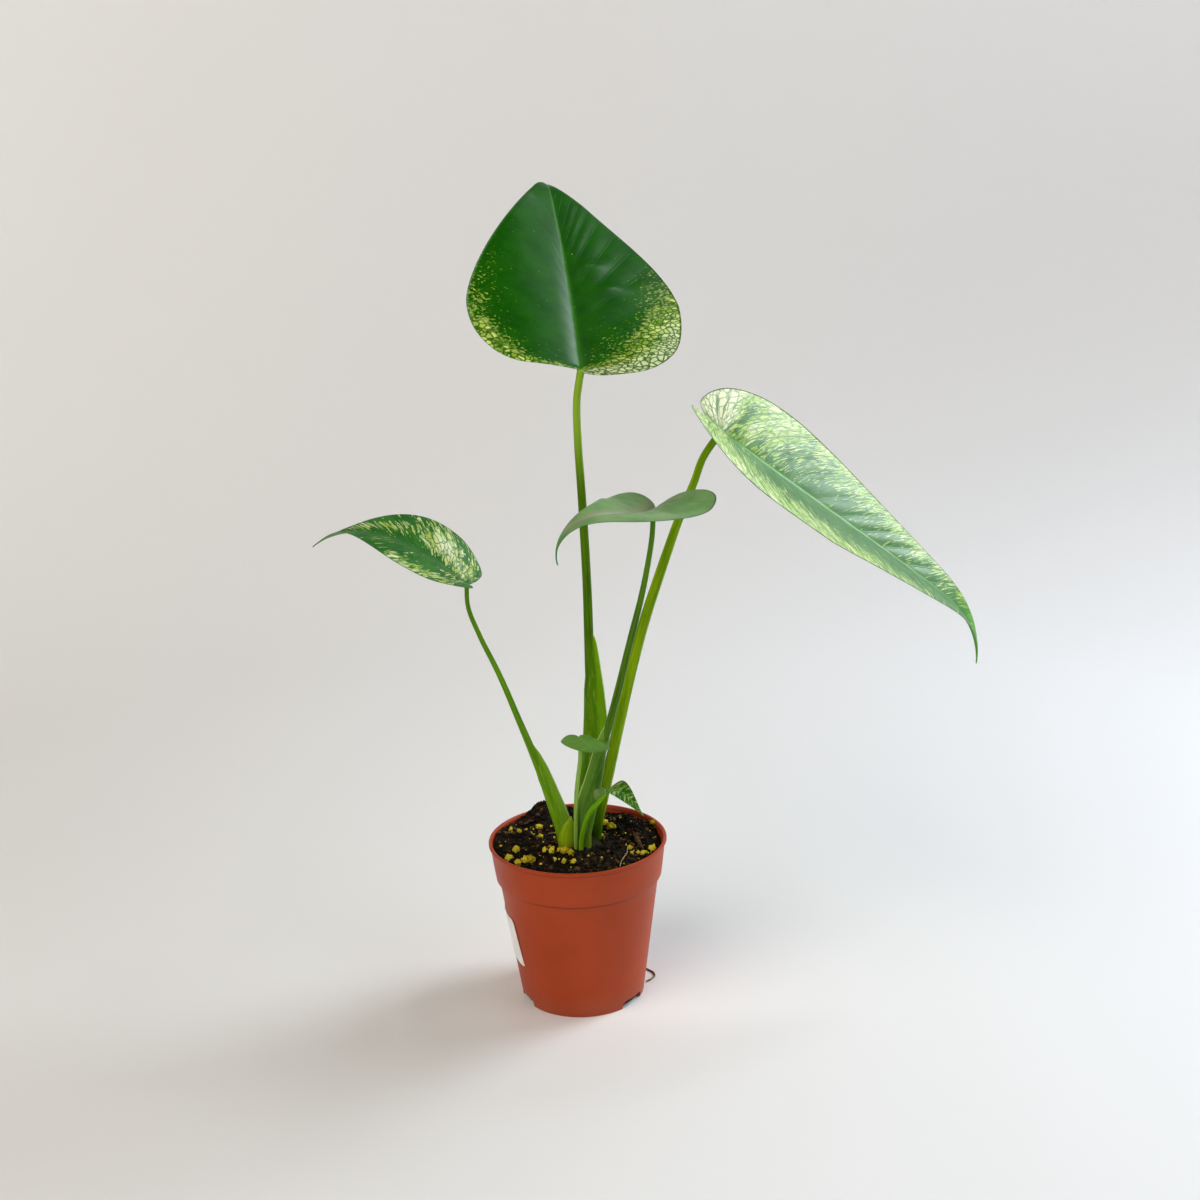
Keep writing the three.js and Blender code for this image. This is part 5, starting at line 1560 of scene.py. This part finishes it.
class PLANT_OT_grains(Operator):
    """Scatters perlite, bark and fibres on the soil"""

    bl_idname = "plant.grains"
    bl_label = "Grains"
    bl_options = {"REGISTER", "UNDO"}

    def execute(self, context):
        look = settings("soil")
        draw = random.Random(look.seed + 1)
        spots = [(*on_soil(px, py)[:2], width) for px, py, width in PERLITE]
        for _ in range(look.loose_perlite):
            x, y = spot(GRAINS["out"] * math.sqrt(draw.random()), draw)
            if off_crown(x, y) > GRAINS["clear"] and y > GRAINS["front"]:
                spots.append((x, y, draw.uniform(*GRAINS["size"])))
        least, most = SPECKS["size"]
        for _ in range(look.specks):
            x, y = spot(SPECKS["out"] * math.sqrt(draw.random()), draw)
            if off_crown(x, y) > SPECKS["clear"]:
                spots.append((x, y, least + (most - least) * draw.random() ** 2))
        shape = ball(2)
        grains, shades = [], []
        for x, y, width in spots:
            points, faces = lump(shape, draw, width / 2, flat=0.8, knob=0.75)
            grains.append((points + (x, y, crumbled(x, y) + GRAINS["stands_out"] * width), faces))
            shades.append(draw.uniform(0.1, 1.0))
        finish_bits("perlite_grains", grains, perlite_finish(), shades)
        finish_bits("bark_bits", self.bark(look.bark, draw), fibre_finish("bark", *BARK_COLOURS))
        finish_bits("dry_fibres", self.fibres(look.fibres, draw), fibre_finish("fibre", *FIBRE_COLOURS))
        return {"FINISHED"}

    def bark(self, count, draw):
        """Short sticks of bark that lie on the mix."""
        sticks = [(on_soil(*start), on_soil(*end), half) for start, end, half in BARK]
        for _ in range(count):
            x, y = spot(draw.uniform(*STICKS["out"]), draw)
            way, reach = TURN * draw.random(), draw.uniform(*STICKS["length"])
            z = float(soil_height(x, y))
            end = (x + reach * math.cos(way), y + reach * math.sin(way), z + draw.uniform(-0.5, 1))
            sticks.append(((x, y, z), end, draw.uniform(*STICKS["size"])))
        parts = []
        for start, end, half in sticks:
            start, end = np.array(start), np.array(end)
            line = [start + (end - start) * s for s in (0, 0.25, 0.5, 0.75, 1)]
            line = [p + (0, 0, 0.8 + 0.3 * draw.random()) for p in line]
            radii = [half * k * draw.uniform(0.8, 1.15) for k in STICKS["shape"]]
            parts.append(tube(line, radii, sides=7, steps=3))
        return parts

    def fibres(self, count, draw):
        """Dry fibres that wander over the mix, inside the pot's rim."""
        line = [np.array(on_soil(*p)) + (0, 0, 1.6 - 0.1 * k) for k, p in enumerate(FIBRE)]
        parts = [tube(line, FIBRE_HALF_WIDTHS, sides=6, steps=5)]
        for _ in range(count):
            x, y = spot(draw.uniform(*FIBRES["out"]), draw)
            way = TURN * draw.random()
            line = []
            for _ in range(5):
                line.append((x, y, crumbled(x, y) + 0.5 + 0.8 * draw.random()))
                way += draw.uniform(-0.6, 0.6)
                reach = draw.uniform(*FIBRES["piece"])
                x, y = x + reach * math.cos(way), y + reach * math.sin(way)
                if math.hypot(x, y) > FIBRES["end"]:
                    break
            if len(line) > 2:
                radius = draw.uniform(*FIBRES["size"])
                parts.append(tube(line, [radius] * len(line), sides=5, steps=4))
        return parts


class PLANT_OT_crown(Operator):
    """Makes the short stem that the leaf stalks grow from"""

    bl_idname = "plant.crown"
    bl_label = "Crown"
    bl_options = {"REGISTER", "UNDO"}

    def execute(self, context):
        profile = np.array(CROWN["profile"])
        heights = np.linspace(profile[0, 1], profile[-1, 1], CROWN_STEPS["heights"])
        radii = np.interp(heights, profile[:, 1], profile[:, 0])
        rings = turned(zip(radii, heights), CROWN_STEPS["sides"], CROWN["stretch"], CROWN["x"], CROWN["y"])
        middle = np.array([CROWN["x"], CROWN["y"], 0])
        for ring in rings:
            for k, p in enumerate(ring):
                swell = 1 + 0.06 * noise.noise(Vector(p) * 0.25) + 0.03 * noise.noise(Vector(p) * 1.1)
                ring[k] = middle + (p - middle) * (swell, swell, 1)
        crown = mesh_object("crown_stem", *loft(rings))
        finish_piece(crown, "crown_stem", fibre_finish("crown_stem", *CROWN_COLOURS), replaces="crown")
        return {"FINISHED"}


class PLANT_OT_stalks(Operator):
    """Grows the six leaf stalks with their sheaths"""

    bl_idname = "plant.stalks"
    bl_label = "Stalks"
    bl_options = {"REGISTER", "UNDO"}

    def execute(self, context):
        sides = settings("plant").stalk_sides
        for name, stalk in STALKS.items():
            points, faces, fields = stalk_shape(name, stalk, sides)
            made = mesh_object("leaf_stalk_" + name, points, faces, fields=fields)
            finish_piece(made, self.slot(name), stalk_finish(name), replaces="stalk_" + name)
        for name, sheath in SHEATHS.items():
            points, faces, fields = sheath_shape(sheath, sides)
            made = mesh_object("leaf_sheath_" + name, points, faces, fields=fields)
            finish_piece(made, self.slot(name), stalk_finish("sheath_" + name))
        return {"FINISHED"}

    def slot(self, name):
        """The slot of a stalk or sheath."""
        return "stalk_dark" if name == "middle" else "stalk_green"


class PLANT_OT_blades(Operator):
    """Spreads the six marbled leaf blades"""

    bl_idname = "plant.blades"
    bl_label = "Blades"
    bl_options = {"REGISTER", "UNDO"}

    def execute(self, context):
        look = settings("plant")
        for name, slot in BLADE_SLOTS.items():
            points, faces, material_of, fields = blade_mesh(name, look.thickness / MM, look.relief)
            blade = mesh_object("leaf_blade_" + name, points, faces, material_of, fields)
            upper, under = leaf_finish(name, False), leaf_finish(name, True)
            finish_piece(blade, slot, upper, under, replaces="blade_" + name)
        return {"FINISHED"}


class PLANT_OT_root(Operator):
    """Curls the thin root that has grown out at the foot"""

    bl_idname = "plant.root"
    bl_label = "Root"
    bl_options = {"REGISTER", "UNDO"}

    def execute(self, context):
        line = [(x, y, ROOT_HEIGHT) for x, y in ROOT_LINE]
        points, faces = tube(line, np.linspace(*ROOT_HALF_WIDTHS, len(line)), sides=10, steps=8)
        root = mesh_object("curled_root", points, faces)
        finish_piece(root, "root_brown", fibre_finish("root_brown", *ROOT_COLOURS), replaces="root")
        return {"FINISHED"}


class PLANT_PT_panel(Panel):
    """Lists the plant's pieces and their settings"""

    bl_idname = "PLANT_PT_panel"
    bl_label = "Potted monstera"
    bl_space_type = "VIEW_3D"
    bl_region_type = "UI"
    bl_category = "Plant"

    def draw(self, context):
        for operator in OPERATORS:
            self.layout.operator(operator.bl_idname)
        for name, group in SETTINGS.items():
            box = self.layout.box()
            box.label(text=group.__doc__)
            for field in group.__annotations__:
                box.prop(settings(name), field)


OPERATORS = (
    PLANT_OT_camera, PLANT_OT_stage, PLANT_OT_pot, PLANT_OT_label, PLANT_OT_soil, PLANT_OT_grains,
    PLANT_OT_crown, PLANT_OT_stalks, PLANT_OT_blades, PLANT_OT_root,
)
SETTINGS = {"stage": StageSettings, "pot": PotSettings, "soil": SoilSettings, "plant": PlantSettings}


def register():
    for item in (*SETTINGS.values(), *OPERATORS, PLANT_PT_panel):
        bpy.utils.register_class(item)
    for name, group in SETTINGS.items():
        setattr(bpy.types.Scene, "monstera_" + name, PointerProperty(type=group))


def unregister():
    for name in SETTINGS:
        delattr(bpy.types.Scene, "monstera_" + name)
    for item in (PLANT_PT_panel, *reversed(OPERATORS), *reversed(SETTINGS.values())):
        bpy.utils.unregister_class(item)


def main():
    register()
    for operator in OPERATORS:
        group, name = operator.bl_idname.split(".")
        getattr(getattr(bpy.ops, group), name)()


if __name__ == "__main__":
    main()
